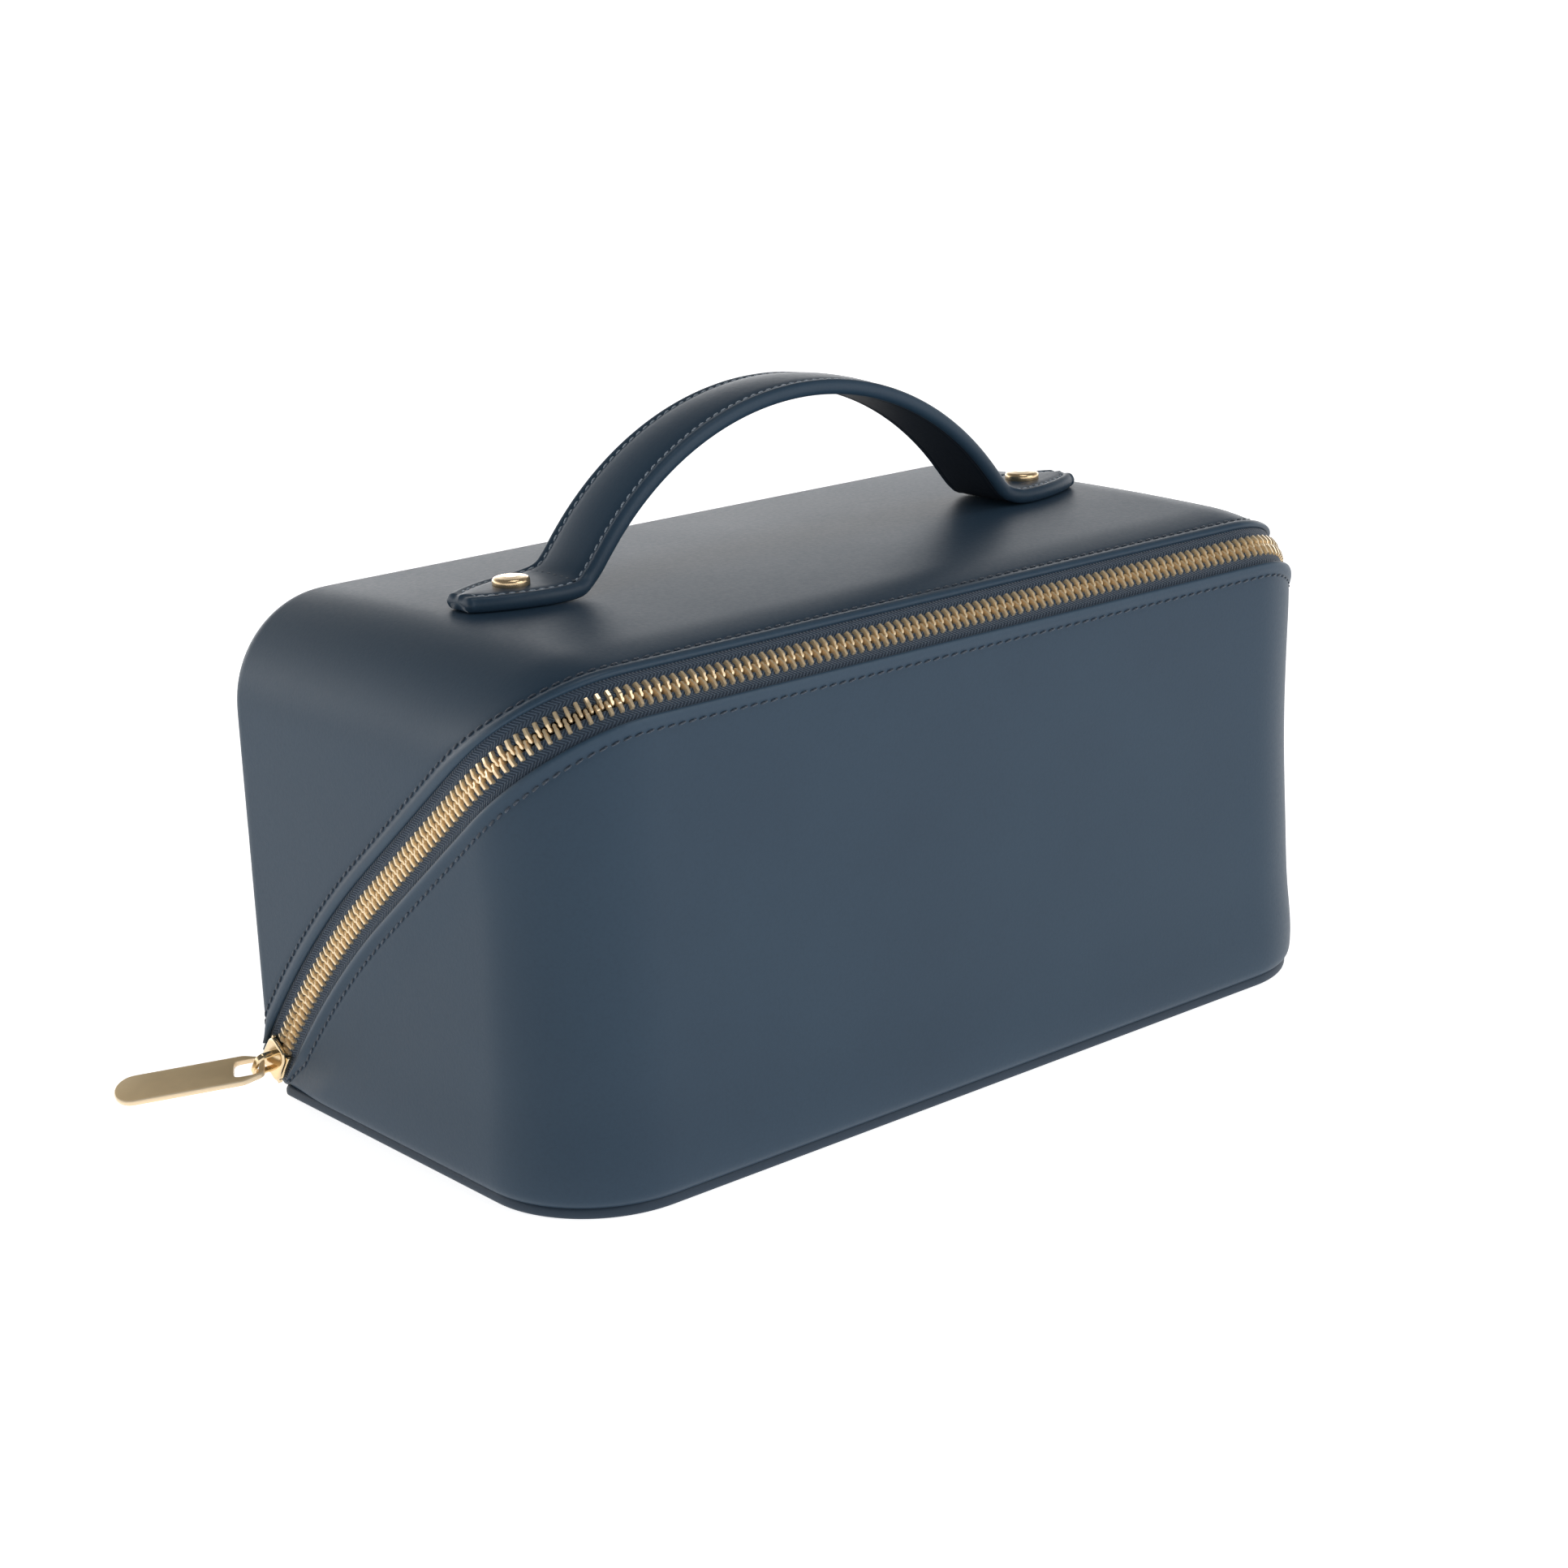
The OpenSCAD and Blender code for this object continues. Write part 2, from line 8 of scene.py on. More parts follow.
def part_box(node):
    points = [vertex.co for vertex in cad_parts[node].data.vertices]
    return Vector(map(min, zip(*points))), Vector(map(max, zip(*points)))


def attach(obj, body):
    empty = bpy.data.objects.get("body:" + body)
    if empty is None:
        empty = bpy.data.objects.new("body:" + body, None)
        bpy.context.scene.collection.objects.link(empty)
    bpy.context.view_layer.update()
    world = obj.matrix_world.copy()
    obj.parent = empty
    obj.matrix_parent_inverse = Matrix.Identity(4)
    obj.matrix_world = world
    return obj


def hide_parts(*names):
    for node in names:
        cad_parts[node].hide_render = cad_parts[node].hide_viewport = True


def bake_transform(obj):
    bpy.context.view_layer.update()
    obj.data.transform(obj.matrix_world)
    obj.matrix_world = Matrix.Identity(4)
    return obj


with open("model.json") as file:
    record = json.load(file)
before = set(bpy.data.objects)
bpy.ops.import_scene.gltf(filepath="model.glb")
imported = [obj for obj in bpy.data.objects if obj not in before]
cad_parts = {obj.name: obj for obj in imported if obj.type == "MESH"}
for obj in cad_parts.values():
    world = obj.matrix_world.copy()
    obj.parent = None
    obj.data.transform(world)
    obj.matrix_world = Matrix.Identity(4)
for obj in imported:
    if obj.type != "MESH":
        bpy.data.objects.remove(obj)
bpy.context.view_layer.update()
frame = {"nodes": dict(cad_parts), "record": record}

print("frame loaded:", len(frame["nodes"]), "nodes")


# ---------- camera
# places in metres, turn in degrees, aside and down in radians
cameraForm = dict(spot=(-0.4777, -0.5671, 0.2840), aimHeight=0.0623, lens=69.44, sensor=36.0,
                  turn=2.023, aside=-0.008, down=-0.003, nearest=0.01)


def placeCamera(c):
    # looks from its spot at the point on the object's upright axis, then turns by three small angles
    eye = Vector(c["spot"])
    aim = Vector((0, 0, c["aimHeight"]))
    back = (eye - aim).normalized()
    right = Vector((0, 0, 1)).cross(back).normalized()
    up = back.cross(right)
    turned = Matrix.Rotation(math.radians(c["turn"]), 3, "Z") @ Matrix.Rotation(c["down"], 3, "X")
    turned = turned @ Matrix.Rotation(c["aside"], 3, "Y") @ Matrix((right, up, back))
    data = bpy.data.cameras.new("studioCamera")
    data.lens, data.sensor_width, data.clip_start = c["lens"], c["sensor"], c["nearest"]
    camera = bpy.data.objects.new("studioCamera", data)
    bpy.context.scene.collection.objects.link(camera)
    camera.matrix_world = Matrix.Translation(eye) @ turned.transposed().to_4x4()
    bpy.context.scene.camera = camera


placeCamera(cameraForm)
print("camera placed")

# ---------- sizes that several pieces share
# every shape below is worked out in millimetres, and turned into metres when its mesh is made
bodyForm = dict(halfWidth=127.5, halfDepth=65.5, height=124.8, dome=1.6, frontCorner=29.0,
                backCorner=5.0, endTop=26.0, footZ=3.0, lidFootZ=4.7)
flatAxes = (1, 0, 0), (0, 1, 0), (0, 0, 1)
backAxes = (1, 0, 0), (0, 0, 1), (0, 1, 0)
zipForm = dict(slope=39.3, straight=88.0, bendRadius=287.5, frontLip=115.0, gap=12.0, depth=1.4,
               endDegrees=17.4, smoothing=2.2, frontTilt=(0, 0.743, 0.669), cornerLean=(-0.17, 0, 0))


# ---------- small tools
def jointSpot(name):  # where a joint's axis stands, in mm
    joint = next(j for j in frame["record"]["behaviour"]["joints"] if j["name"] == name)
    return np.array(joint["pos_m"]) * 1000


def unit(v):
    return v / np.maximum(np.linalg.norm(v, axis=-1, keepdims=True), 1e-9)


def ease(t):  # 3t^2 - 2t^3 between 0 and 1
    t = np.clip(t, 0, 1)
    return t * t * (3 - 2 * t)


def arcLength(points):
    return np.concatenate([[0], np.cumsum(np.linalg.norm(np.diff(points, axis=0), axis=1))])


def atLengths(values, lengths, wanted):  # each column of values read at the wanted arc lengths
    return np.stack([np.interp(wanted, lengths, values[:, k]) for k in range(values.shape[1])], 1)


def resampled(points, count):  # the same line read at equal steps
    lengths = arcLength(points)
    return atLengths(points, lengths, np.linspace(0, lengths[-1], count))


def leftOf(path):  # unit normals on the left of a flat path
    tangent = unit(np.gradient(path, axis=0))
    return np.column_stack([-tangent[:, 1], tangent[:, 0]])


def mirrored(half):  # a left half followed by its mirror image, with the middle point once
    flip = np.ones(half.shape[1])
    flip[0] = -1
    return np.concatenate([half, half[-2::-1] * flip])


def softened(points, width):  # Gaussian average along the rows, with the ends mirrored through their points
    n = int(3 * width) + 1
    kernel = np.exp(-0.5 * (np.arange(-n, n + 1) / width) ** 2)
    kernel /= kernel.sum()
    head = 2 * points[0] - points[n:0:-1]
    tail = 2 * points[-1] - points[-2:-n - 2:-1]
    padded = np.concatenate([head, points, tail])
    return np.stack([np.convolve(padded[:, k], kernel, "valid") for k in range(points.shape[1])], 1)


def makeMesh(name, corners, loops, counts, smooth=True, uv=None, marks=None, sharp=None):
    # corners in mm; a closed shell whose signed volume is negative has its faces turned
    first, last = np.cumsum(counts) - counts, np.cumsum(counts)
    tri = np.repeat(first, counts - 2)
    step = np.arange(len(tri)) - np.repeat(np.cumsum(counts - 2) - (counts - 2), counts - 2)
    a, b, c = corners[loops[tri]], corners[loops[tri + step + 1]], corners[loops[tri + step + 2]]
    if np.einsum("ij,ij->", a, np.cross(b, c)) < 0:
        order = np.repeat(first + last - 1, counts) - np.arange(len(loops))
        loops = loops[order]
    mesh = bpy.data.meshes.new(name)
    mesh.vertices.add(len(corners))
    mesh.vertices.foreach_set("co", (corners * 0.001).astype(np.float32).ravel())
    mesh.loops.add(len(loops))
    mesh.loops.foreach_set("vertex_index", loops.astype(np.int32))
    mesh.polygons.add(len(counts))
    mesh.polygons.foreach_set("loop_start", first.astype(np.int32))
    mesh.polygons.foreach_set("loop_total", counts.astype(np.int32))
    mesh.polygons.foreach_set("use_smooth", np.full(len(counts), smooth))
    if uv is not None:
        layer = mesh.uv_layers.new(name="surfaceMap")
        layer.data.foreach_set("uv", uv[loops].astype(np.float32).ravel())
    for key, values in (marks or {}).items():
        mark = mesh.attributes.new(key, "FLOAT", "POINT")
        mark.data.foreach_set("value", values.astype(np.float32).ravel())
    mesh.update(calc_edges=True)
    mesh.validate()
    if sharp:
        mesh.set_sharp_from_angle(angle=math.radians(sharp))
    piece = bpy.data.objects.new(name, mesh)
    bpy.context.scene.collection.objects.link(piece)
    return piece


def gridFaces(rows, cols, closeRows=False):
    # quads between neighbours of a rows x cols grid of closed rows, and a flat cap on each open end
    i = np.arange(rows if closeRows else rows - 1)[:, None]
    j = np.arange(cols)[None, :]
    at = lambda p, q: (p % rows) * cols + q % cols
    quads = np.stack([at(i, j), at(i, j + 1), at(i + 1, j + 1), at(i + 1, j)], -1).reshape(-1, 4)
    loops, counts = quads.ravel(), np.full(len(quads), 4)
    if not closeRows:
        loops = np.concatenate([loops, np.arange(cols)[::-1], (rows - 1) * cols + np.arange(cols)])
        counts = np.concatenate([counts, [cols, cols]])
    return loops, counts


def tube(name, points, closeRows=False, uv=None, marks=None, sharp=None):
    # a grid of points, rows along the piece and columns round its closed outline
    rows, cols = points.shape[:2]
    loops, counts = gridFaces(rows, cols, closeRows)
    return makeMesh(name, points.reshape(-1, 3), loops, counts, uv=None if uv is None else uv.reshape(-1, 2),
                    marks={k: v.reshape(-1) for k, v in (marks or {}).items()}, sharp=sharp)


def copies(name, shape, origins, xAxes, yAxes, zAxes, **kw):
    # the shape's grid set down once for each frame: origin + x X + y Y + z Z
    rows, cols = shape.shape[:2]
    flat = shape.reshape(-1, 3)
    axes = np.stack([xAxes, yAxes, zAxes], 1)
    corners = (origins[:, None, :] + np.einsum("vk,nkc->nvc", flat, axes)).reshape(-1, 3)
    loops, counts = gridFaces(rows, cols)
    n = len(origins)
    loops = (loops[None, :] + np.arange(n)[:, None] * len(flat)).ravel()
    return makeMesh(name, corners, loops, np.tile(counts, n), **kw)


def finishPiece(piece, material, body, slot, *nodes):
    piece.data.materials.append(material)
    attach(piece, body)
    if nodes:
        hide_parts(*nodes)
    return piece


# ---------- shader tools
class Socket:
    # wraps a node's output, so that arithmetic on it adds Math nodes
    def __init__(self, graph, out):
        self.graph, self.out = graph, out

    def maths(self, operation, *others, turned=False):
        values = [self, *others] if not turned else [*others, self]
        return self.graph.add("ShaderNodeMath", dict(operation=operation), dict(enumerate(values)))

    def __add__(self, o): return self.maths("ADD", o)
    def __radd__(self, o): return self.maths("ADD", o, turned=True)
    def __sub__(self, o): return self.maths("SUBTRACT", o)
    def __rsub__(self, o): return self.maths("SUBTRACT", o, turned=True)
    def __mul__(self, o): return self.maths("MULTIPLY", o)
    def __truediv__(self, o): return self.maths("DIVIDE", o)
    def __pow__(self, o): return self.maths("POWER", o)
    def __rpow__(self, o): return self.maths("POWER", o, turned=True)
    def __mod__(self, o): return self.maths("FLOORED_MODULO", o)

    def sine(self): return self.maths("SINE")
    def size(self): return self.maths("ABSOLUTE")
    def between(self): return self.graph.add("ShaderNodeClamp", {}, {"Value": self})


class Graph:
    # a node tree, and short ways to add to it
    def __init__(self, tree):
        self.tree = tree

    def add(self, kind, settings, sockets, out=0):
        node = self.tree.nodes.new(kind)
        for key, value in settings.items():
            setattr(node, key, value)
        for key, value in sockets.items():
            if isinstance(value, Socket):
                self.tree.links.new(value.out, node.inputs[key])
            else:
                node.inputs[key].default_value = value
        return Socket(self, node.outputs[out])

    def parts(self, where):  # the x, y and z of a vector
        split = self.tree.nodes.new("ShaderNodeSeparateXYZ")
        self.tree.links.new(where.out, split.inputs[0])
        return [Socket(self, out) for out in split.outputs]

    def place(self, scale=(1, 1, 1), uv=False, turn=(0, 0, 0)):
        spot = self.add("ShaderNodeTexCoord", {}, {}, "UV" if uv else "Object")
        return self.add("ShaderNodeMapping", {}, {"Vector": spot, "Scale": scale, "Rotation": turn})

    def noise(self, where, scale, detail=3.0, rough=0.5):
        sockets = {"Vector": where, "Scale": scale, "Detail": detail, "Roughness": rough}
        return self.add("ShaderNodeTexNoise", {}, sockets, "Fac")

    def cells(self, where, scale):
        settings = dict(feature="SMOOTH_F1")
        return self.add("ShaderNodeTexVoronoi", settings, {"Vector": where, "Scale": scale}, "Distance")

    def wave(self, where, direction, scale, distortion):
        settings = dict(wave_type="BANDS", bands_direction=direction)
        sockets = {"Vector": where, "Scale": scale, "Distortion": distortion}
        return self.add("ShaderNodeTexWave", settings, sockets, "Fac")

    def blendColour(self, amount, first, second):
        return self.add("ShaderNodeMix", dict(data_type="RGBA"), {0: amount, 6: first, 7: second}, 2)

    def mark(self, key):
        return self.add("ShaderNodeAttribute", dict(attribute_name=key), {}, "Fac")

    def bump(self, height, strength, distance):
        return self.add("ShaderNodeBump", {}, {"Strength": strength, "Distance": distance, "Height": height})


class Finish(Graph):
    # one material: a Principled shader and whatever feeds it
    def __init__(self, name, **fixed):
        self.material = bpy.data.materials.new(name)
        self.material.use_nodes = True
        super().__init__(self.material.node_tree)
        self.shader = self.tree.nodes["Principled BSDF"]
        for key, value in fixed.items():
            self.shader.inputs[key.replace("_", " ")].default_value = value

    def feed(self, **links):
        for key, value in links.items():
            self.tree.links.new(value.out, self.shader.inputs[key.replace("_", " ")])
        return self.material


def rgba(colour, share=1.0):  # a colour darkened to a share of itself, with full alpha
    return (*(c * share for c in colour), 1.0)


leatherLook = dict(dark=(0.021, 0.045, 0.076), light=(0.026, 0.054, 0.088), worn=(0.06, 0.10, 0.145),
                   roughness=0.44, grainScale=1500.0, grainDepth=0.00005, cloudScale=14.0)
strapLook = dict(leatherLook, roughness=0.42)
baseLook = dict(leatherLook, dark=(0.02, 0.036, 0.058), light=(0.027, 0.046, 0.072), roughness=0.5)
underLook = dict(leatherLook, dark=(0.008, 0.012, 0.019), light=(0.012, 0.017, 0.026), roughness=0.6)
brushLook = dict(turn=(0.0, 0.0, math.radians(35.0)), rim=(0.92, 0.74, 0.50))
tapeLook = dict(stripe=1.45, rib=1.0, yarn=0.5, dark=(0.016, 0.028, 0.048), light=(0.085, 0.125, 0.18))
boardLook = dict(dark=(0.085, 0.078, 0.07), light=(0.22, 0.2, 0.18))


def leatherFinish(name, look, wear=False):
    # two close navies clouded together, fine pebbled grain, faint wrinkles, and paler worn crests
    f = Finish(name, Specular_IOR_Level=0.25)
    where = f.place()
    cloud = f.noise(where, look["cloudScale"], 4.0, 0.6)
    grain = f.cells(where, look["grainScale"])
    fine = f.noise(where, 900.0, 2.0)
    wrinkle = f.noise(where, 160.0, 3.0, 0.55)
    mix = ((cloud - 0.5) * 2.2 + 0.5).between()
    colour = f.blendColour(mix, rgba(look["dark"]), rgba(look["light"]))
    pits = (grain * 0.9 - 0.25).between() * 0.25
    colour = f.blendColour(pits, colour, rgba(look["dark"], 0.55))
    rough = look["roughness"] + (fine - 0.5) * 0.12 + (cloud - 0.5) * 0.10
    if wear:
        worn = (f.mark("wear") * (0.45 + fine)).between()
        colour = f.blendColour(worn * 0.35, colour, rgba(look["worn"]))
        rough = rough - worn * 0.08
    height = grain * -1.0 + fine * 0.35 + wrinkle * 1.2
    grained = f.bump(height, 0.32, look["grainDepth"])
    return f.feed(Base_Color=colour, Roughness=rough.between(), Normal=grained)


def threadFinish(name, colour):
    # twisted thread: slanted ridges that run round each stitch
    f = Finish(name, Roughness=0.55, Specular_IOR_Level=0.35, Sheen_Weight=0.2)
    twist = f.wave(f.place(), "DIAGONAL", 620.0, 0.6)
    shade = f.blendColour(twist, rgba(colour, 0.6), rgba(colour))
    return f.feed(Base_Color=shade, Normal=f.bump(twist, 0.6, 0.00012))


def goldFinish(name, colour, roughness, brushed=0.0, metal=1.0):
    # pale gold plating with faint clouding, fine rubbing marks, and long brushed lines if asked for
    # metal below 1 lets a share of the colour act as plain diffuse paint: on the teeth and the pull tab this
    # share is painted light, lifting them where the lamps and reflections leave them dark
    f = Finish(name, Metallic=metal)
    where = f.place()
    cloud = f.noise(where, 220.0, 3.0)
    rub = f.noise(where, 2600.0, 2.0)
    tint = f.blendColour(cloud, rgba(colour), rgba(colour, 0.86))
    rough = roughness + (cloud - 0.5) * 0.08 + (rub - 0.5) * 0.06
    height = rub * 0.3
    if brushed:
        lines = f.noise(f.place((90.0, 5200.0, 5200.0), turn=brushLook["turn"]), 1.0, 4.0, 0.6)
        polished = f.mark("rim").between()
        rough = (rough + (lines - 0.5) * 0.25) * (1 - polished * 0.55)
        tint = f.blendColour(polished, tint, rgba(brushLook["rim"]))
        height = height + lines * brushed
    return f.feed(Base_Color=tint, Roughness=rough.between(), Normal=f.bump(height, 0.25, 0.00003))


def tapeFinish(name, look):
    # woven herringbone: the slanting ribs turn over at each stripe along the tape
    f = Finish(name, Specular_IOR_Level=0.3, Sheen_Weight=0.35, Sheen_Roughness=0.4)
    along, across, _ = f.parts(f.place(uv=True))
    stripe = (across / look["stripe"]) % 2.0
    zigzag = (stripe - 1.0).size() * look["stripe"]
    rib = ((along + zigzag * 1.15) * (2 * math.pi / look["rib"])).sine() * 0.5 + 0.5
    weft = (across * (2 * math.pi / look["yarn"])).sine() * 0.5 + 0.5
    fuzz = f.noise(f.place(), 1500.0, 2.0)
    weave = (rib ** 1.5) * (0.6 + weft * 0.4)
    seam = ((stripe % 1.0) - 0.5).size() * 2.0
    height = weave + fuzz * 0.25 - (seam ** 8.0) * 0.5
    colour = f.blendColour((weave * 0.9 + fuzz * 0.2).between(), rgba(look["dark"]), rgba(look["light"]))
    rough = (0.85 - weave * 0.2).between()
    return f.feed(Base_Color=colour, Roughness=rough, Normal=f.bump(height, 0.9, 0.00018))


def clothFinish(name, colour):
    # plain woven lining: two crossed yarn waves with a soft sheen
    f = Finish(name, Roughness=0.8, Sheen_Weight=0.3, Specular_IOR_Level=0.3)
    where = f.place()
    warp = f.wave(where, "X", 420.0, 0.3)
    weft = f.wave(where, "Z", 420.0, 0.3)
    slub = f.noise(where, 60.0, 4.0)
    weave = warp * 0.5 + weft * 0.5
    shade = f.blendColour((weave * 0.6 + slub * 0.5).between(), rgba(colour, 0.6), rgba(colour))
    return f.feed(Base_Color=shade, Normal=f.bump(weave + slub * 0.3, 0.4, 0.0001))


def boardFinish(name, look):
    # grey fibre board: mottled, matt, with a few darker flecks
    f = Finish(name, Roughness=0.9, Specular_IOR_Level=0.2)
    where = f.place()
    mottle = f.noise(where, 90.0, 6.0, 0.7)
    fleck = f.noise(where, 1100.0, 2.0)
    amount = (mottle * 0.7 + fleck * 0.5 - 0.1).between()
    shade = f.blendColour(amount, rgba(look["dark"]), rgba(look["light"]))
    return f.feed(Base_Color=shade, Normal=f.bump(fleck + mottle, 0.3, 0.0001))


skinLeather = leatherFinish("skinLeather", leatherLook, wear=True)
strapLeather = leatherFinish("strapLeather", strapLook, wear=True)
baseLeather = leatherFinish("baseLeather", baseLook)
underLeather = leatherFinish("underLeather", underLook)
seamThread = threadFinish("seamThread", (0.045, 0.065, 0.095))
strapThread = threadFinish("strapThread", (0.33, 0.40, 0.48))
# zip teeth and stops: a whitened base colour with metallic held at 0.58, so a diffuse share of the gold lifts
# them where their reflections fall dark: partly the gold's own colour, partly painted light
toothGoldPaintedLight = goldFinish("toothGoldPaintedLight", (0.97, 0.77, 0.50), 0.18, metal=0.58)
sliderGold = goldFinish("sliderGold", (0.88, 0.70, 0.44), 0.17)
# pull tab: metallic only 0.2 and a brightened base colour, so the tab's face shows light the lamps do not
# give it: painted light over the brushed gold
tabGoldPaintedLight = goldFinish("tabGoldPaintedLight", (1.0, 0.76, 0.44), 0.4, brushed=0.6, metal=0.2)
rivetGold = goldFinish("rivetGold", (0.88, 0.66, 0.40), 0.2, metal=0.85)
zipTape = tapeFinish("zipTape", tapeLook)
liningCloth = clothFinish("liningCloth", (0.045, 0.06, 0.09))
fibreBoard = boardFinish("fibreBoard", boardLook)
print("finishes made:", len(bpy.data.materials))


# ---------- the zip's path and the two lips beside it
def zipLips():
    # Left half from the back up: an arc and a straight on the end wall, a turn round the upright
    # corner with z falling linearly with y, then a straight run along the front; then mirrored.
    z, b = zipForm, bodyForm
    slope = math.radians(z["slope"])
    t, n = np.array([-math.cos(slope), math.sin(slope)]), np.array([math.sin(slope), math.cos(slope)])
    half = z["gap"] / 2
    bend = np.array([-b["halfDepth"], z["frontLip"]]) + half * n - z["straight"] * t
    centre = bend - z["bendRadius"] * n

    def side(s, o):
        a = slope + np.maximum(-s, 0) / z["bendRadius"]
        low = centre + (z["bendRadius"] + o) * np.stack([np.sin(a), np.cos(a)], -1)
        return np.where((s >= 0)[:, None], bend + s[:, None] * t + o * n, low)

    cornerY = -b["halfDepth"] + b["frontCorner"]
    cornerS = (bend[0] - half * n[0] - cornerY) / math.cos(slope)
    s = np.arange(-math.radians(z["endDegrees"]) * z["bendRadius"], cornerS, 0.5)
    wall = np.full(len(s), -b["halfWidth"])
    tray = [np.column_stack([wall, side(s, -half)])]
    lid = [np.column_stack([wall, side(s, half)])]
    g = np.linspace(0, math.pi / 2, 90)
    y = cornerY - b["frontCorner"] * np.sin(g)
    foot = np.column_stack([-b["halfWidth"] + b["frontCorner"] * (1 - np.cos(g)), y,
                            z["frontLip"] - (y + b["halfDepth"]) * math.tan(slope)])
    w = ease(g / (math.pi / 2))[:, None]
    across = unit((1 - w) * np.array([0, n[0], n[1]]) + w * np.array(z["frontTilt"])
                  + np.sin(2 * g)[:, None] ** 2 * np.array(z["cornerLean"]))
    tray.append(foot)
    lid.append(foot + z["gap"] * across)
    x = np.linspace(foot[-1, 0], 0, 200)[1:]
    tray.append(np.column_stack([x, np.full(len(x), foot[-1, 1]), np.full(len(x), foot[-1, 2])]))
    lid.append(tray[-1] + z["gap"] * across[-1])
    tray, lid = mirrored(np.concatenate(tray)), mirrored(np.concatenate(lid))
    lengths = arcLength((tray + lid) / 2)
    wanted = np.linspace(0, lengths[-1], int(lengths[-1]) + 1)
    return [softened(atLengths(line, lengths, wanted), z["smoothing"]) for line in (tray, lid)]


def zipFrames(tray, lid):
    middle = (tray + lid) / 2
    along = unit(np.gradient(middle, axis=0))
    across = lid - tray
    across = unit(across - np.sum(across * along, 1, keepdims=True) * along)
    return middle, along, across, np.cross(along, across)


trayLip, lidLip = zipLips()
zipMiddle, zipAlong, zipAcross, zipOut = zipFrames(trayLip, lidLip)
zipLength = arcLength(zipMiddle)
print("zip path:", round(zipLength[-1]), "mm")


# ---------- walls of tray and lid
bulgeForm = dict(swell=1.4, swellAt=9.5, swellSpread=13, hollow=0.85, hollowFrom=26, hollowSpan=84)
wallForm = dict(rollRoom=9.0, pullReach=16, leanReach=5, tuckSpread=0.9)  # mm from the lip, or from the foot
lipRoll = dict(width=1.3, height=0.95, rise=0.6, valley=0.14, stitchAt=3.7)


def bulge(z, reach):
    # the leather swells over the foot seam, and falls in a little at mid height
    f = bulgeForm
    swell = f["swell"] * np.exp(-((z - f["swellAt"]) / f["swellSpread"]) ** 2)
    hollow = f["hollow"] * np.sin(np.pi * np.clip((z - f["hollowFrom"]) / f["hollowSpan"], 0, 1)) ** 2
    return (swell - hollow) * ease(reach / wallForm["pullReach"])


def rowTravel(distances, fractions, room):
    # how far each row lies from the lip: set distances first, then fractions of the room that is left
    fit = np.minimum(1, room / wallForm["rollRoom"])[:, None]
    last = distances[-1] * fit
    return np.concatenate([distances[None, :] * fit, last + fractions[None, :] * (room[:, None] - last)], 1)


def rollRows(r):
    # (distance from the lip, height over the leather): half an ellipse, then a soft fall to the stitch valley
    a = np.radians(np.linspace(-90, 90, 13))
    roll = np.column_stack([r["width"] * (1 - np.cos(a)), r["rise"] - r["height"] + r["height"] * np.sin(a)])
    fall = np.array([[1.7, r["rise"] - 0.02], [2.1, r["rise"] - 0.13], [2.5, 0.27], [2.9, 0.06], [3.3, -0.09],
                     [r["stitchAt"], -r["valley"]], [4.1, -0.11], [4.6, -0.04], [5.2, 0.0]])
    return np.concatenate([roll, fall])


def trayWall(distances, fractions, heights, tuck=0.0):
    # columns along the lip; rows go down the upright wall to the foot; each point stands out by its
    # height and the bulge, and tucks in at the foot seam
    tangent = unit(np.gradient(trayLip, axis=0))
    level = unit(tangent[:, :2])
    outward = np.column_stack([level[:, 1], -level[:, 0], np.zeros(len(level))])
    steep = np.maximum(np.sqrt(np.sum(tangent[:, :2] ** 2, 1)), 0.3)
    use = trayLip[:, 2] > bodyForm["footZ"] + 0.6
    lip, outward, steep, out = trayLip[use], outward[use], steep[use], zipOut[use]
    drop = rowTravel(distances, fractions, (lip[:, 2] - bodyForm["footZ"]) * steep)
    z = lip[:, 2:3] - drop / steep[:, None]
    tucked = tuck * np.exp(-(z - bodyForm["footZ"]) / wallForm["tuckSpread"])
    height = np.broadcast_to(heights, z.shape) + bulge(z, drop) - tucked
    lean = ease(drop / wallForm["leanReach"])[:, :, None]
    aim = unit((1 - lean) * unit(outward + out)[:, None, :] + lean * outward[:, None, :])
    spot = np.stack([np.broadcast_to(lip[:, 0:1], z.shape), np.broadcast_to(lip[:, 1:2], z.shape), z], -1)
    return spot + aim * height[:, :, None]


def tunnelProfile():
    # outline of top and ends seen from the front: upright, a quarter round of radius endTop, level
    b = bodyForm
    low = b["height"] - b["endTop"]
    z = np.linspace(0, low, 60)
    a = np.linspace(0, math.pi / 2, 60)[1:]
    x = np.linspace(-b["halfWidth"] + b["endTop"], 0, 90)[1:]
    upright = np.column_stack([np.full(len(z), -b["halfWidth"]), z])
    r = b["endTop"]
    quarter = np.column_stack([-b["halfWidth"] + r * (1 - np.cos(a)), low + r * np.sin(a)])
    left = np.concatenate([upright, quarter, np.column_stack([x, np.full(len(x), b["height"])])])
    return softened(resampled(mirrored(left), 1600), 8.0)


tunnel = tunnelProfile()
tunnelNormal = leftOf(tunnel)


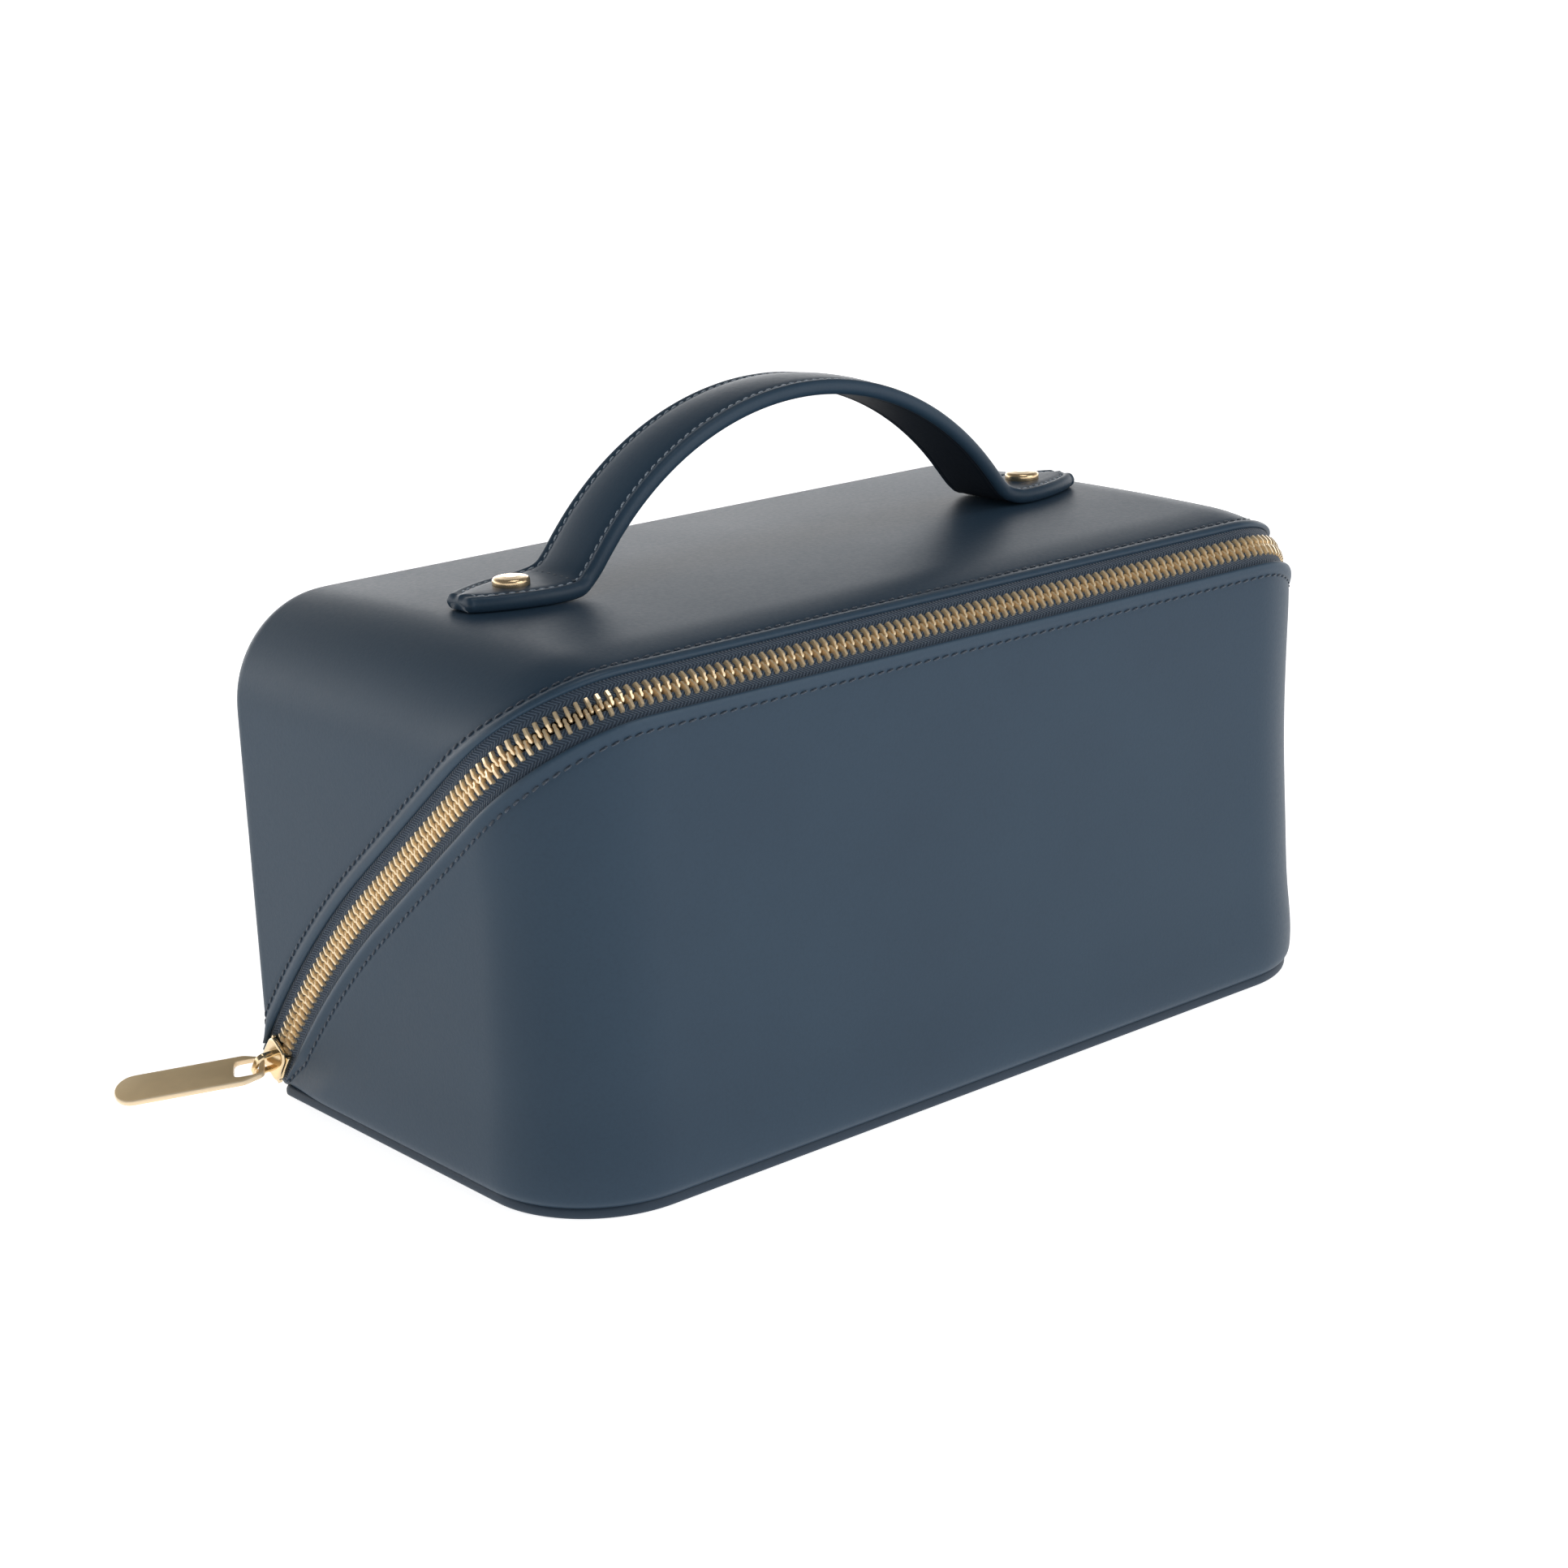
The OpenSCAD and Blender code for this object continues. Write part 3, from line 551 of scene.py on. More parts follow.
def lidWall(distances, fractions, heights, lipTo=0.0):
    # columns along the lip; rows run back over top and ends and round the back edge: the tunnel
    # outline carried along y, with the front brow pulled onto the lip, and a quarter round at the back
    b = bodyForm
    edge = b["halfDepth"] - b["backCorner"]
    nearest = np.argmin(np.linalg.norm(lidLip[:, None, [0, 2]] - tunnel[None], axis=2), axis=1)
    nearest = np.maximum.accumulate(nearest)
    nearest = softened(nearest[:, None].astype(float), 4.0)[:, 0]
    index = np.arange(len(tunnel))
    base = np.stack([np.interp(nearest, index, tunnel[:, k]) for k in (0, 1)], 1)
    normal = unit(np.stack([np.interp(nearest, index, tunnelNormal[:, k]) for k in (0, 1)], 1))
    tangent = unit(np.gradient(lidLip, axis=0))
    steep = np.maximum(np.sqrt(1 - tangent[:, 1] ** 2), 0.3)
    use = lidLip[:, 2] > lipTo
    lip, base, normal, steep, out = lidLip[use], base[use], normal[use], steep[use], zipOut[use]
    turned = np.arcsin(np.clip((lip[:, 1] - edge) / b["backCorner"], 0, 0.98))
    start = np.where(lip[:, 1] < edge, lip[:, 1], edge + b["backCorner"] * turned)
    finish = edge + b["backCorner"] * math.pi / 2
    travel = rowTravel(distances, fractions, (finish - start) * steep)
    g = start[:, None] + travel / steep[:, None]
    crownWeight = np.clip((base[:, 1] - (b["height"] - b["endTop"])) / b["endTop"], 0, 1)[:, None]

    def surface(g):
        turn = np.clip((g - edge) / b["backCorner"], 0, math.pi / 2)
        y = np.where(g < edge, g, edge + b["backCorner"] * np.sin(turn))
        inset = b["backCorner"] * (1 - np.cos(turn))
        crown = b["dome"] * np.clip(1 - (y / edge) ** 2, -0.2, 1) * crownWeight
        x, z = base[:, 0:1] - inset * normal[:, 0:1], base[:, 1:2] - inset * normal[:, 1:2] + crown
        aim = np.stack([normal[:, 0:1] * np.cos(turn), np.sin(turn), normal[:, 1:2] * np.cos(turn)], -1)
        return np.stack([x, y, z], -1), aim

    spot, aim = surface(g)
    pull = lip[:, None, :] - surface(start[:, None])[0]
    spot = spot + pull * (np.clip(1 - travel / wallForm["pullReach"], 0, 1) ** 2)[:, :, None]
    lean = ease(travel / wallForm["leanReach"])[:, :, None]
    aim = unit((1 - lean) * unit(aim + out[:, None, :]) + lean * aim)
    height = np.broadcast_to(heights, g.shape)
    return spot + aim * height[:, :, None]


# each inner layer: its top under the leather's face, its thickness, and where it starts below the lip
skinForm = dict(thickness=1.2, board=(1.25, 1.75, 4.3), lining=(3.05, 0.45, 0.4))
# rows below the roll, closer together near the far edge
fractions = np.concatenate([np.linspace(0, 0.9, 40)[1:], np.linspace(0.9, 1, 16)[1:]])


def skinPiece(name, wall, body, *nodes, tuck=0.0, **kw):
    # outer face rolled at the lip, inner face a leather's thickness below it
    rolled = rollRows(lipRoll)
    tucked = dict(kw, tuck=tuck) if tuck else kw
    outer = wall(rolled[:, 0], fractions, np.concatenate([rolled[:, 1], np.zeros(len(fractions))]), **tucked)
    back = np.array([rolled[0, 0] + 0.5, 3.0, 5.2])
    inner = wall(back, fractions, np.full(3 + len(fractions), -skinForm["thickness"]), **kw)
    grid = np.concatenate([outer, inner[:, ::-1]], 1)
    wear = np.zeros(grid.shape[:2])
    wear[:, 5:15] = np.exp(-((np.arange(5, 15) - 10.5) / 2.5) ** 2)
    finishPiece(tube(name, grid, marks={"wear": wear}), skinLeather, body, "outer_leather", *nodes)


def layerPiece(name, wall, layer, material, body, slot, node, **kw):
    # an inner layer that follows the wall: outer and inner faces at two depths
    top, thickness, reach = skinForm[layer]
    rows = np.array([reach, reach + 1.0])
    depths = [np.full(2 + len(fractions), -depth) for depth in (top, top + thickness)]
    outer, inner = (wall(rows, fractions, depth, **kw) for depth in depths)
    finishPiece(tube(name, np.concatenate([outer, inner[:, ::-1]], 1)), material, body, slot, node)


skinPiece("traySkin", trayWall, "tray", "tray_skin", "tray_lip", tuck=1.3)
layerPiece("trayBoard", trayWall, "board", fibreBoard, "tray", "stiffener_board", "tray_board")
layerPiece("trayLining", trayWall, "lining", liningCloth, "tray", "lining_cloth", "tray_lining")
skinPiece("lidSkin", lidWall, "lid", "lid_skin", "lid_lip", lipTo=11.5)
layerPiece("lidBoard", lidWall, "board", fibreBoard, "lid", "stiffener_board", "lid_board", lipTo=14.0)
layerPiece("lidLining", lidWall, "lining", liningCloth, "lid", "lining_cloth", "lid_lining", lipTo=14.0)
print("skins, boards and linings made")


# ---------- flat pieces with a worked edge
def insetOf(outline, amount):  # the closed outline moved inwards along its own normals
    tangent = unit(np.roll(outline, -1, 0) - np.roll(outline, 1, 0))
    return outline + amount * np.column_stack([-tangent[:, 1], tangent[:, 0]])


def evenly(outline, step, soft=0.0):  # a closed outline resampled at equal steps, its corners softened
    loop = np.concatenate([outline, outline[:1]])
    lengths = arcLength(loop)
    count = max(int(lengths[-1] / step), 12)
    even = atLengths(loop, lengths, np.linspace(0, lengths[-1], count, endpoint=False))
    if soft:
        n = int(3 * soft / step) + 1
        wrapped = np.concatenate([even[-n:], even, even[:n]])
        even = softened(wrapped, soft / step)[n:-n]
    return even


def plate(name, outline, rim, origin, xAxis, yAxis, zAxis, crown=0.0):
    # the outline (turning left) is inset and raised along the rim profile, then drawn in to the middle
    middle = outline.mean(0)
    inner = np.array([0.9, 0.75, 0.6, 0.45, 0.3, 0.15, 0.02])
    reach = np.abs(outline - middle).max(0)
    rings = [np.column_stack([insetOf(outline, i), np.full(len(outline), h)]) for i, h in rim]

    def draw(ring, k, rise):
        spot = middle + (ring[:, :2] - middle) * k
        share = np.minimum(((spot - middle) / reach) ** 2, 1)
        return np.column_stack([spot, ring[:, 2] + rise * (1 - share[:, 0]) * (1 - share[:, 1])])

    low = [draw(rings[0], k, 0.0) for k in inner[::-1]]
    high = [draw(rings[-1], k, crown) for k in inner]
    grid = np.stack(low + rings + high)
    axes = np.array([xAxis, yAxis, zAxis], float)
    return tube(name, np.asarray(origin) + grid @ axes)


def roundedBox(halfX, halfY, radius):
    a = np.linspace(0, 2 * math.pi, 96, endpoint=False)
    corner = np.column_stack([np.cos(a), np.sin(a)])
    return corner * radius + np.sign(corner) * (np.array([halfX, halfY]) - radius)


# ---------- stitches
stitchForm = dict(lipPitch=2.9, lipLength=2.05, strapPitch=2.45, strapLength=1.75, radius=0.27, slant=9.0)


def stitchShape(length, radius):
    # a capsule lying along x: six-sided rings whose radius follows an ellipse at both ends
    x = np.array([-0.5, -0.44, -0.2, 0.2, 0.44, 0.5]) * length
    r = np.array([0.25, 0.75, 1.0, 1.0, 0.75, 0.25]) * radius
    a = np.linspace(0, 2 * math.pi, 6, endpoint=False)
    sag = np.array([-0.5, -0.2, 0.0, 0.0, -0.2, -0.5]) * radius
    y, z = r[:, None] * np.cos(a), r[:, None] * np.sin(a) + sag[:, None]
    return np.stack([np.broadcast_to(x[:, None], y.shape), y, z], -1)


def sewAlong(name, path, normals, pitch, length, material, body, slot):
    # one stitch every pitch along the path, lying on the surface and slanted a little
    lengths = arcLength(path)
    wanted = np.arange(pitch / 2, lengths[-1], pitch)
    spot = atLengths(path, lengths, wanted)
    z = unit(atLengths(normals, lengths, wanted))
    x = atLengths(unit(np.gradient(path, axis=0)), lengths, wanted)
    x = unit(x - np.sum(x * z, 1, keepdims=True) * z)
    y = np.cross(z, x)
    slant = math.radians(stitchForm["slant"])
    turned = math.cos(slant) * x + math.sin(slant) * y
    piece = copies(name, stitchShape(length, stitchForm["radius"]), spot, turned, np.cross(z, turned), z)
    finishPiece(piece, material, body, slot)


def lipSeam(name, wall, body, **kw):
    # the stitch line lies in the valley below the rolled lip
    at = lipRoll["stitchAt"]
    near = wall(np.array([at - 0.4, at, at + 0.4]), np.array([]), np.full(3, 0.12 - lipRoll["valley"]), **kw)
    tangent = unit(np.gradient(near[:, 1], axis=0))
    normal = unit(np.cross(tangent, near[:, 2] - near[:, 0]))
    if np.sum(normal * (near[:, 1] - np.array([0, 0, 60.0]))) < 0:
        normal = -normal
    f = stitchForm
    sewAlong(name, near[:, 1], normal, f["lipPitch"], f["lipLength"], seamThread, body, "outer_leather")


lipSeam("traySeam", trayWall, "tray")
lipSeam("lidSeam", lidWall, "lid", lipTo=13.0)

# ---------- zip
tapeForm = dict(edge=1.2, reach=7.1, thickness=0.5, sink=0.05, startZ=5.0, overFloor=0.6)
toothForm = dict(pitch=2.54, reach=3.0, head=0.75, width=1.12, top=1.45, bottom=-1.2, shift=0.3)


def tapeRibbon(name, side, body, node):
    # closed outline (across, out) carried along the zip; the edge at the teeth is a rounded cord
    t = tapeForm
    a = np.radians(np.linspace(-90, 90, 7))
    cord = np.column_stack([t["edge"] + 0.5 - 0.55 * np.cos(a), 0.6 * np.sin(a)])
    flat = np.linspace(t["edge"] + 1.4, t["reach"], 8)
    top = np.column_stack([flat, t["thickness"] / 2 + 0 * flat])
    outline = np.concatenate([cord, top, top[::-1] * np.array([1, -1])])
    depth = -zipForm["depth"] - t["sink"]
    spots = (zipMiddle[:, None] + side * outline[None, :, :1] * zipAcross[:, None]
             + (depth + outline[None, :, 1:]) * zipOut[:, None])
    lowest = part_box(node)[0].z * 1000 + t["overFloor"]
    keep = zipMiddle[:, 2] > t["startZ"]
    spots = spots[keep]
    spots[:, :, 2] = np.maximum(spots[:, :, 2], lowest)
    uv = np.stack(np.broadcast_arrays(zipLength[keep][:, None], side * outline[None, :, 0]), -1)
    finishPiece(tube(name, spots, uv=uv), zipTape, body, "zip_tape", node)


def toothShape(side):
    # a rounded bar clamped on the tape (leg), a waist, and a nib that meets the other row's gaps;
    # rows run across the zip, columns are an eight-sided outline (along, out)
    t = toothForm
    across = np.array([t["reach"], t["reach"] - 0.12, 1.5, 0.85, 0.3, -0.25, -t["head"]])
    half = np.array([0.55, 0.9, 1.0, 0.98, 0.72, 0.98, 0.55]) * t["width"] / 2
    top = np.array([0.45, 0.8, 1.0, 1.0, 0.72, 0.72, 0.45]) * t["top"]
    low = np.array([0.5, 0.85, 1.0, 1.0, 0.8, 0.8, 0.5]) * t["bottom"]
    ring = np.array([[1, -0.35], [1, 0.45], [0.62, 1], [-0.62, 1],
                     [-1, 0.45], [-1, -0.35], [-0.6, -1], [0.6, -1]])
    y = np.where(ring[:, 1] > 0, ring[:, 1] * top[:, None], -ring[:, 1] * low[:, None])
    x = ring[:, 0] * half[:, None]
    return np.stack([x, np.broadcast_to(side * across[:, None], x.shape), y], -1)


def toothRow(name, side, shift, body, node):
    # teeth stand on a straight zip line, half a pitch apart from the other row
    start, stop = toothRange
    wanted = np.arange(start + shift, stop, toothForm["pitch"])
    spot = atLengths(zipMiddle - zipForm["depth"] * zipOut, zipLength, wanted)
    x, z = (unit(atLengths(v, zipLength, wanted)) for v in (zipAlong, zipOut))
    piece = copies(name, toothShape(side), spot, x, np.cross(z, x), z, sharp=50)
    finishPiece(piece, toothGoldPaintedLight, body, "zip_metal", node)


sliderTravel = 15.0  # degrees of the end wall's bend
sliderAt = math.radians(zipForm["endDegrees"] - sliderTravel) * zipForm["bendRadius"]
toothRange = (sliderAt + 4.9, zipLength[-1] - sliderAt - 4.0)  # clear of the slider and of the box stop
tapeRibbon("lowerTape", -1, "tray", "zip_tape_lower")
tapeRibbon("upperTape", 1, "lid", "zip_tape_upper")
toothRow("lowerTeeth", -1, toothForm["shift"], "tray", "zip_teeth_lower")
toothRow("upperTeeth", 1, toothForm["shift"] + toothForm["pitch"] / 2, "lid", "zip_teeth_upper")
print("tapes and teeth made")

# ---------- slider and pull tab
sliderForm = dict(length=10.0, width=8.4, bladeFrom=1.65, blade=1.2, bridgeFrom=2.7, bridgeHeight=5.3,
                  bridgeBack=-5.0, bridgeFront=2.8, bridgeWidth=1.5, bridgeThick=1.0)
tabForm = dict(length=37.0, width=10.0, thickness=1.6, full=4.5, neck=3.3, window=(3.85, 3.1, 2.95),
               windowSquare=5, turn=35.0, dip=7.0, roll=-20.0)


def sliderFrame():
    k = np.searchsorted(zipLength, sliderAt)
    return zipMiddle[k] - zipForm["depth"] * zipOut[k], zipAlong[k], zipAcross[k], zipOut[k]


def makeSlider(f):
    # two rounded blades, a flange down each edge and the wedge between them
    spot, x, y, z = sliderFrame()
    l, w = f["length"] / 2, f["width"] / 2
    blade = evenly(np.array([[-l, 0.8 - w], [0.8 - l, -w], [l - 1.8, 0.2 - w], [l, 1.6 - w],
                             [l, w - 1.6], [l - 1.8, w - 0.2], [0.8 - l, w], [-l, w - 0.8]]), 0.4, 0.7)
    low, high = f["bladeFrom"], f["bladeFrom"] + f["blade"]
    rim = [(0.35, low), (0.08, low + 0.1), (0, low + 0.3),
           (0, high - 0.45), (0.13, high - 0.15), (0.42, high)]
    pieces = [plate("sliderTopBlade", blade, rim, spot, x, y, z, 0.15),
              plate("sliderUnderBlade", blade, [(i, -h) for i, h in rim[::-1]], spot, x, y, z)]
    flange = roundedBox(l - 0.9, 0.42, 0.35)
    for n, side in enumerate((-1, 1)):
        for m, (a, b) in enumerate(((0.45, low + 0.2), (-low - 0.2, -0.45))):
            upright = [(0.2, a), (0, a + 0.2), (0, b)]
            origin = spot + side * (w - 0.5) * y
            pieces.append(plate("sliderFlange%d%d" % (n, m), flange, upright, origin, x, y, z))
    post = [(0.0, -low - 0.2), (0, low + 0.2)]
    pieces.append(plate("sliderWedge", roundedBox(1.3, 0.7, 0.5), post, spot - (l - 1.4) * x, x, y, z))
    for p in pieces:
        finishPiece(p, sliderGold, "slider", "slider_metal", "slider_body")


def makeBridge(f):
    # a rounded flat band carried along an arch with two upright legs
    spot, x, y, z = sliderFrame()
    b, t, h = f["bridgeBack"] + 0.5, f["bridgeFront"] - 0.5, f["bridgeHeight"] - 0.5
    arch = np.array([[b, 0], [b, h - 1.4], [b + 0.35, h - 0.4], [b + 1.3, h],
                     [t - 1.3, h], [t - 0.35, h - 0.4], [t, h - 1.4], [t, 0]])
    path = softened(resampled(arch, 48), 1.2)
    side = -leftOf(path)
    band = roundedBox(f["bridgeThick"] / 2, f["bridgeWidth"] / 2, 0.3)[::4]
    flat = path[:, None] + side[:, None] * band[None, :, :1]
    grid = (spot + flat[..., :1] * x + band[None, :, 1:] * y + (flat[..., 1:] + f["bridgeFrom"]) * z)
    finishPiece(tube("sliderBridge", grid), sliderGold, "slider", "slider_metal", "slider_bridge")


def makeTab(f):
    # outline and window joined by rays from the window's middle: rows run round the metal's section,
    # up the outer edge, over the bevel and the flat face, and down the window
    half, neck, l = f["width"] / 2, f["neck"], f["length"]
    end = l - half
    a = np.linspace(-math.pi / 2, math.pi / 2, 40)
    outer = np.concatenate([[[-0.7, 0.8 - neck], [0, -neck], [f["full"], -half]],
                            np.column_stack([end + half * np.cos(a), half * np.sin(a)]),
                            [[f["full"], half], [0, neck], [-0.7, neck - 0.8]]])
    outer = evenly(outer, 0.45, 0.45)
    cx, ra, rb = f["window"]
    ray = np.arctan2(outer[:, 1], outer[:, 0] - cx)
    square = f["windowSquare"]
    far = (np.abs(np.cos(ray) / ra) ** square + np.abs(np.sin(ray) / rb) ** square) ** (-1 / square)
    window = np.column_stack([cx + far * np.cos(ray), far * np.sin(ray)])
    top = f["thickness"] / 2
    edge = [(0.3, -top), (0.08, 0.1 - top), (0, 0.3 - top),
            (0, top - 0.42), (0.1, top - 0.2), (0.3, top - 0.06), (0.42, top)]
    rows = [np.column_stack([insetOf(outer, i), np.full(len(outer), h)]) for i, h in edge]
    inner = [(0.3, top), (0.08, top - 0.1), (0, top - 0.3), (0, 0.3 - top), (0.08, 0.1 - top), (0.3, -top)]
    spread = unit(window - [cx, 0])
    grown = [np.column_stack([window + spread * i, np.full(len(outer), h)]) for i, h in inner]
    between = [rows[-1] * (1 - k) + grown[0] * k for k in (0.33, 0.66)]
    beneath = [grown[-1] * (1 - k) + rows[0] * k for k in (0.33, 0.66)]
    grid = np.stack(rows + between + grown + beneath)
    rim = np.zeros(grid.shape[:2])
    rim[:len(rows) - 1] = 1.0
    rim[len(rows) + 3:len(rows) + 7] = 1.0
    turn = Matrix.Rotation(math.radians(180 - f["turn"]), 3, "Z")
    turn = turn @ Matrix.Rotation(math.radians(f["dip"]), 3, "Y")
    turn = turn @ Matrix.Rotation(math.radians(f["roll"]), 3, "X")
    world = jointSpot("tab_swing") + grid @ np.array(turn).T
    piece = tube("pullTab", world, closeRows=True, marks={"rim": rim}, sharp=40)
    finishPiece(piece, tabGoldPaintedLight, "pull_tab", "tab_metal", "pull_tab")


makeSlider(sliderForm)
makeBridge(sliderForm)
makeTab(tabForm)
print("slider and pull tab made")

# ---------- handle
strapForm = dict(reach=99.0, half=11.0, flare=1.3, flareFrom=66.0, flareTo=72.0, tip=3.6, thickness=3.8,
                 y=6.0, outer=83.0, rise=41.9, edge=1.35, stitchAt=2.8, groove=0.34, padding=0.5,
                 flatTo=8.0, bendSoft=4.6, step=0.8, leather=1.2, filler=(1.25, 2.55), over=0.05)
rivetForm = dict(x=83.6, radius=4.5)


def strapPath(f):
    # underside line of the strap in x and z: level, an arc of radius outer - thickness, level
    top = bodyForm["height"] + bodyForm["dome"]
    base = top + f["over"]
    r = f["outer"] - f["thickness"]
    centre = top + f["rise"] - f["outer"]
    meet = math.sqrt(r * r - (base - centre) ** 2)
    a = np.linspace(math.atan2(base - centre, -meet), math.atan2(base - centre, meet), 200)
    arc = np.column_stack([r * np.cos(a), centre + r * np.sin(a)])
    line = np.concatenate([[[-f["reach"], base]], arc, [[f["reach"], base]]])
    even = resampled(line, int(arcLength(line)[-1] / f["step"]))
    path = softened(even, f["bendSoft"] / f["step"])
    path[:, 1] = np.maximum(path[:, 1], base)
    return path


def strapHalf(x, f):  # half width: even along the arch, flared at the bend, then a leaf with a blunt tip
    x = np.abs(x)
    flare = f["half"] + f["flare"] * ease((x - f["flareFrom"]) / (f["flareTo"] - f["flareFrom"]))
    leaf = np.clip((x - f["flareTo"]) / (f["reach"] - f["flareTo"]), 0, 1)
    tip = f["tip"] + (f["half"] + f["flare"] - f["tip"]) * np.cos(leaf * math.pi / 2) ** 0.7
    return np.where(x < f["flareTo"], flare, tip)


def strapSection(f, part):
    # half outlines from the edge to the middle, as (inset, share of the way to the middle, height):
    # the side away from the core, then the side on it
    e, m, t = f["edge"], f["thickness"] / 2, f["thickness"]
    a = np.radians(np.linspace(-90, 90, 13))
    if part == "top":
        face = [(1.9, 0, -0.03), (2.4, 0, -0.22), (f["stitchAt"], 0, -f["groove"]),
                (3.2, 0, -0.22), (4.0, 0, 0.05)]
        face += [(4.0, k, 0.05 + f["padding"] * (1 - (1 - k) ** 2)) for k in (0.2, 0.4, 0.6, 0.8, 1.0)]
        outer = [(e * (1 - math.cos(turn)), 0, m * math.sin(turn) - m) for turn in a] + face
        roof = t - f["leather"]
        inner = [(e + 0.02, 0, 0.02), (e + 0.02, 0, roof), (4.0, 0, roof), (4.0, 1, roof)]
        return [(i, k, t + h) for i, k, h in outer], inner
    if part == "under":
        outer = [(e + 0.06, 0, 0.15), (e + 0.3, 0, 0.02), (2.5, 0, 0.1), (f["stitchAt"], 0, 0.16),
                 (3.1, 0, 0.1), (4.0, 0, 0.02), (4.0, 1, 0.02)]
        return outer, [(e + 0.06, 0, f["leather"]), (4.0, 0, f["leather"]), (4.0, 1, f["leather"])]
    return ([(e + 0.1, 0, h), (4.0, 0, h), (4.0, 1, h)] for h in f["filler"])


def strapPoints(path, profile, f):
    # rows along the path; the inset is measured square to the curved edge, and the padding sinks
    # towards the flat tabs
    normal = leftOf(path)
    half = strapHalf(path[:, 0], f)
    slope = np.gradient(half) / np.maximum(arcLength(path)[1], 1e-6)
    squareTo = np.minimum(np.sqrt(1 + slope ** 2), 1.5)
    profile = np.array(profile)
    inset = np.minimum(profile[None, :, 0] * squareTo[:, None], half[:, None] * 0.97)
    across = (half[:, None] - inset) * (1 - profile[None, :, 1])
    above = profile[:, 2] - f["thickness"]
    pad = np.maximum(above, 0)
    sunk = 0.75 * ease((np.abs(path[:, 0]) - f["flareFrom"]) / f["flatTo"])
    groove = np.where(above > -0.5, np.maximum(-above, 0), 0)
    filled = 1 - np.clip((half - f["stitchAt"]) / 3, 0, 1)  # the stitch groove fades out in the tip
    height = profile[None, :, 2] - pad[None, :] * sunk[:, None] + groove[None, :] * filled[:, None]
    return normal, across, height


def strapPiece(name, part, f, material, slot, node):
    # half outlines mirrored into one closed outline, carried along the strap, rounded off at the tips
    path = strapPath(f)
    outer, inner = strapSection(f, part)
    normal, across, height = strapPoints(path, outer + inner, f)
    n, m = len(outer), len(inner)
    away, beside = np.arange(n), np.arange(n, n + m)
    order = np.concatenate([away, away[-2::-1], beside, beside[-2::-1]])
    sign = np.concatenate([np.ones(n), -np.ones(n - 1), -np.ones(m), np.ones(m - 1)])
    across, height = across[:, order] * sign, height[:, order]
    x, z = path[:, :1] + normal[:, :1] * height, path[:, 1:] + normal[:, 1:] * height
    spots = np.stack([x, f["y"] + across, z], -1)
    reach = f["reach"] - (0 if part == "top" else f["edge"])
    spots = spots[np.abs(path[:, 0]) < reach - f["edge"]]
    t = np.radians(np.linspace(10, 80, 5))[:, None]
    level = path[0, 1] + f["thickness"] / 2
    hollow = (order >= n) & (part == "top")

    def tip(row, sign):
        x = sign * (reach - f["edge"] * (1 - np.cos(t)))
        y = f["y"] + (row[:, 1] - f["y"]) * (0.75 + 0.25 * np.sin(t))
        solid = np.where(hollow, path[0, 1] + 0.02, row[:, 2])  # the core's hollow stops short of the tip
        z = level + (solid - level) * np.sin(t)
        return np.stack(np.broadcast_arrays(x, y, z), -1)

    grid = np.concatenate([tip(spots[0], -1), spots, tip(spots[-1], 1)[::-1]])
    finishPiece(tube(name, grid), material, "lid", slot, node)


def strapStitches(f):
    # one seam round the whole strap at the stitch inset, and one straight across at each bend
    path = strapPath(f)
    profile = [(f["stitchAt"], 0, f["thickness"] - f["groove"] + 0.14)]
    normal, across, height = strapPoints(path, profile, f)
    keep = np.abs(path[:, 0]) < f["reach"] - f["stitchAt"]
    x, z = (path[:, k] + normal[:, k] * height[:, 0] for k in (0, 1))
    near, far = (np.stack([x, f["y"] + sign * across[:, 0], z], -1)[keep] for sign in (1, -1))
    up = np.column_stack([normal[:, 0], 0 * normal[:, 0], normal[:, 1]])[keep]
    loop = np.concatenate([near, far[::-1], near[:1]])
    ups = np.concatenate([up, up[::-1], up[:1]])
    pitch, length = stitchForm["strapPitch"], stitchForm["strapLength"]
    sewAlong("strapSeam", loop, ups, pitch, length, strapThread, "lid", "strap_leather")
    share = np.linspace(0, 1, 12)
    for name, sign in (("bendSeamLeft", -1), ("bendSeamRight", 1)):
        k = np.argmin(np.abs(path[keep, 0] - sign * (f["flareTo"] - 0.5)))
        line = near[k] + (far[k] - near[k]) * share[:, None]
        line += up[k] * (0.3 * np.sin(share * math.pi))[:, None]
        facing = np.tile(up[k], (len(share), 1))
        sewAlong(name, line, facing, pitch, length, seamThread, "lid", "strap_leather")


strapPiece("strapTop", "top", strapForm, strapLeather, "strap_leather", "handle_top_leather")
strapPiece("strapUnder", "under", strapForm, underLeather, "strap_leather", "handle_under_leather")
strapPiece("strapCore", "core", strapForm, fibreBoard, "strap_filler", "handle_core")
strapStitches(strapForm)


def makeRivets(f):
    # each cap is a turned profile (inset, height): straight side, rounded shoulder, slight dome
    top = strapPath(strapForm)[0, 1] + strapForm["thickness"]
    rim = [(0.25, -0.3), (0, 0.1), (0, 1.25), (0.08, 1.5),
           (0.3, 1.78), (0.65, 1.95), (1.2, 2.05), (2.4, 2.13)]
    for name, sign in (("rivetLeft", -1), ("rivetRight", 1)):
        a = np.linspace(0, 2 * math.pi, 64, endpoint=False)
        ring = f["radius"] * np.column_stack([np.cos(a), np.sin(a)])
        cap = plate(name, ring, rim, (sign * f["x"], strapForm["y"], top), *flatAxes, crown=0.06)
        finishPiece(cap, rivetGold, "lid", "rivet_metal", "rivet_caps")


makeRivets(rivetForm)
print("handle made")

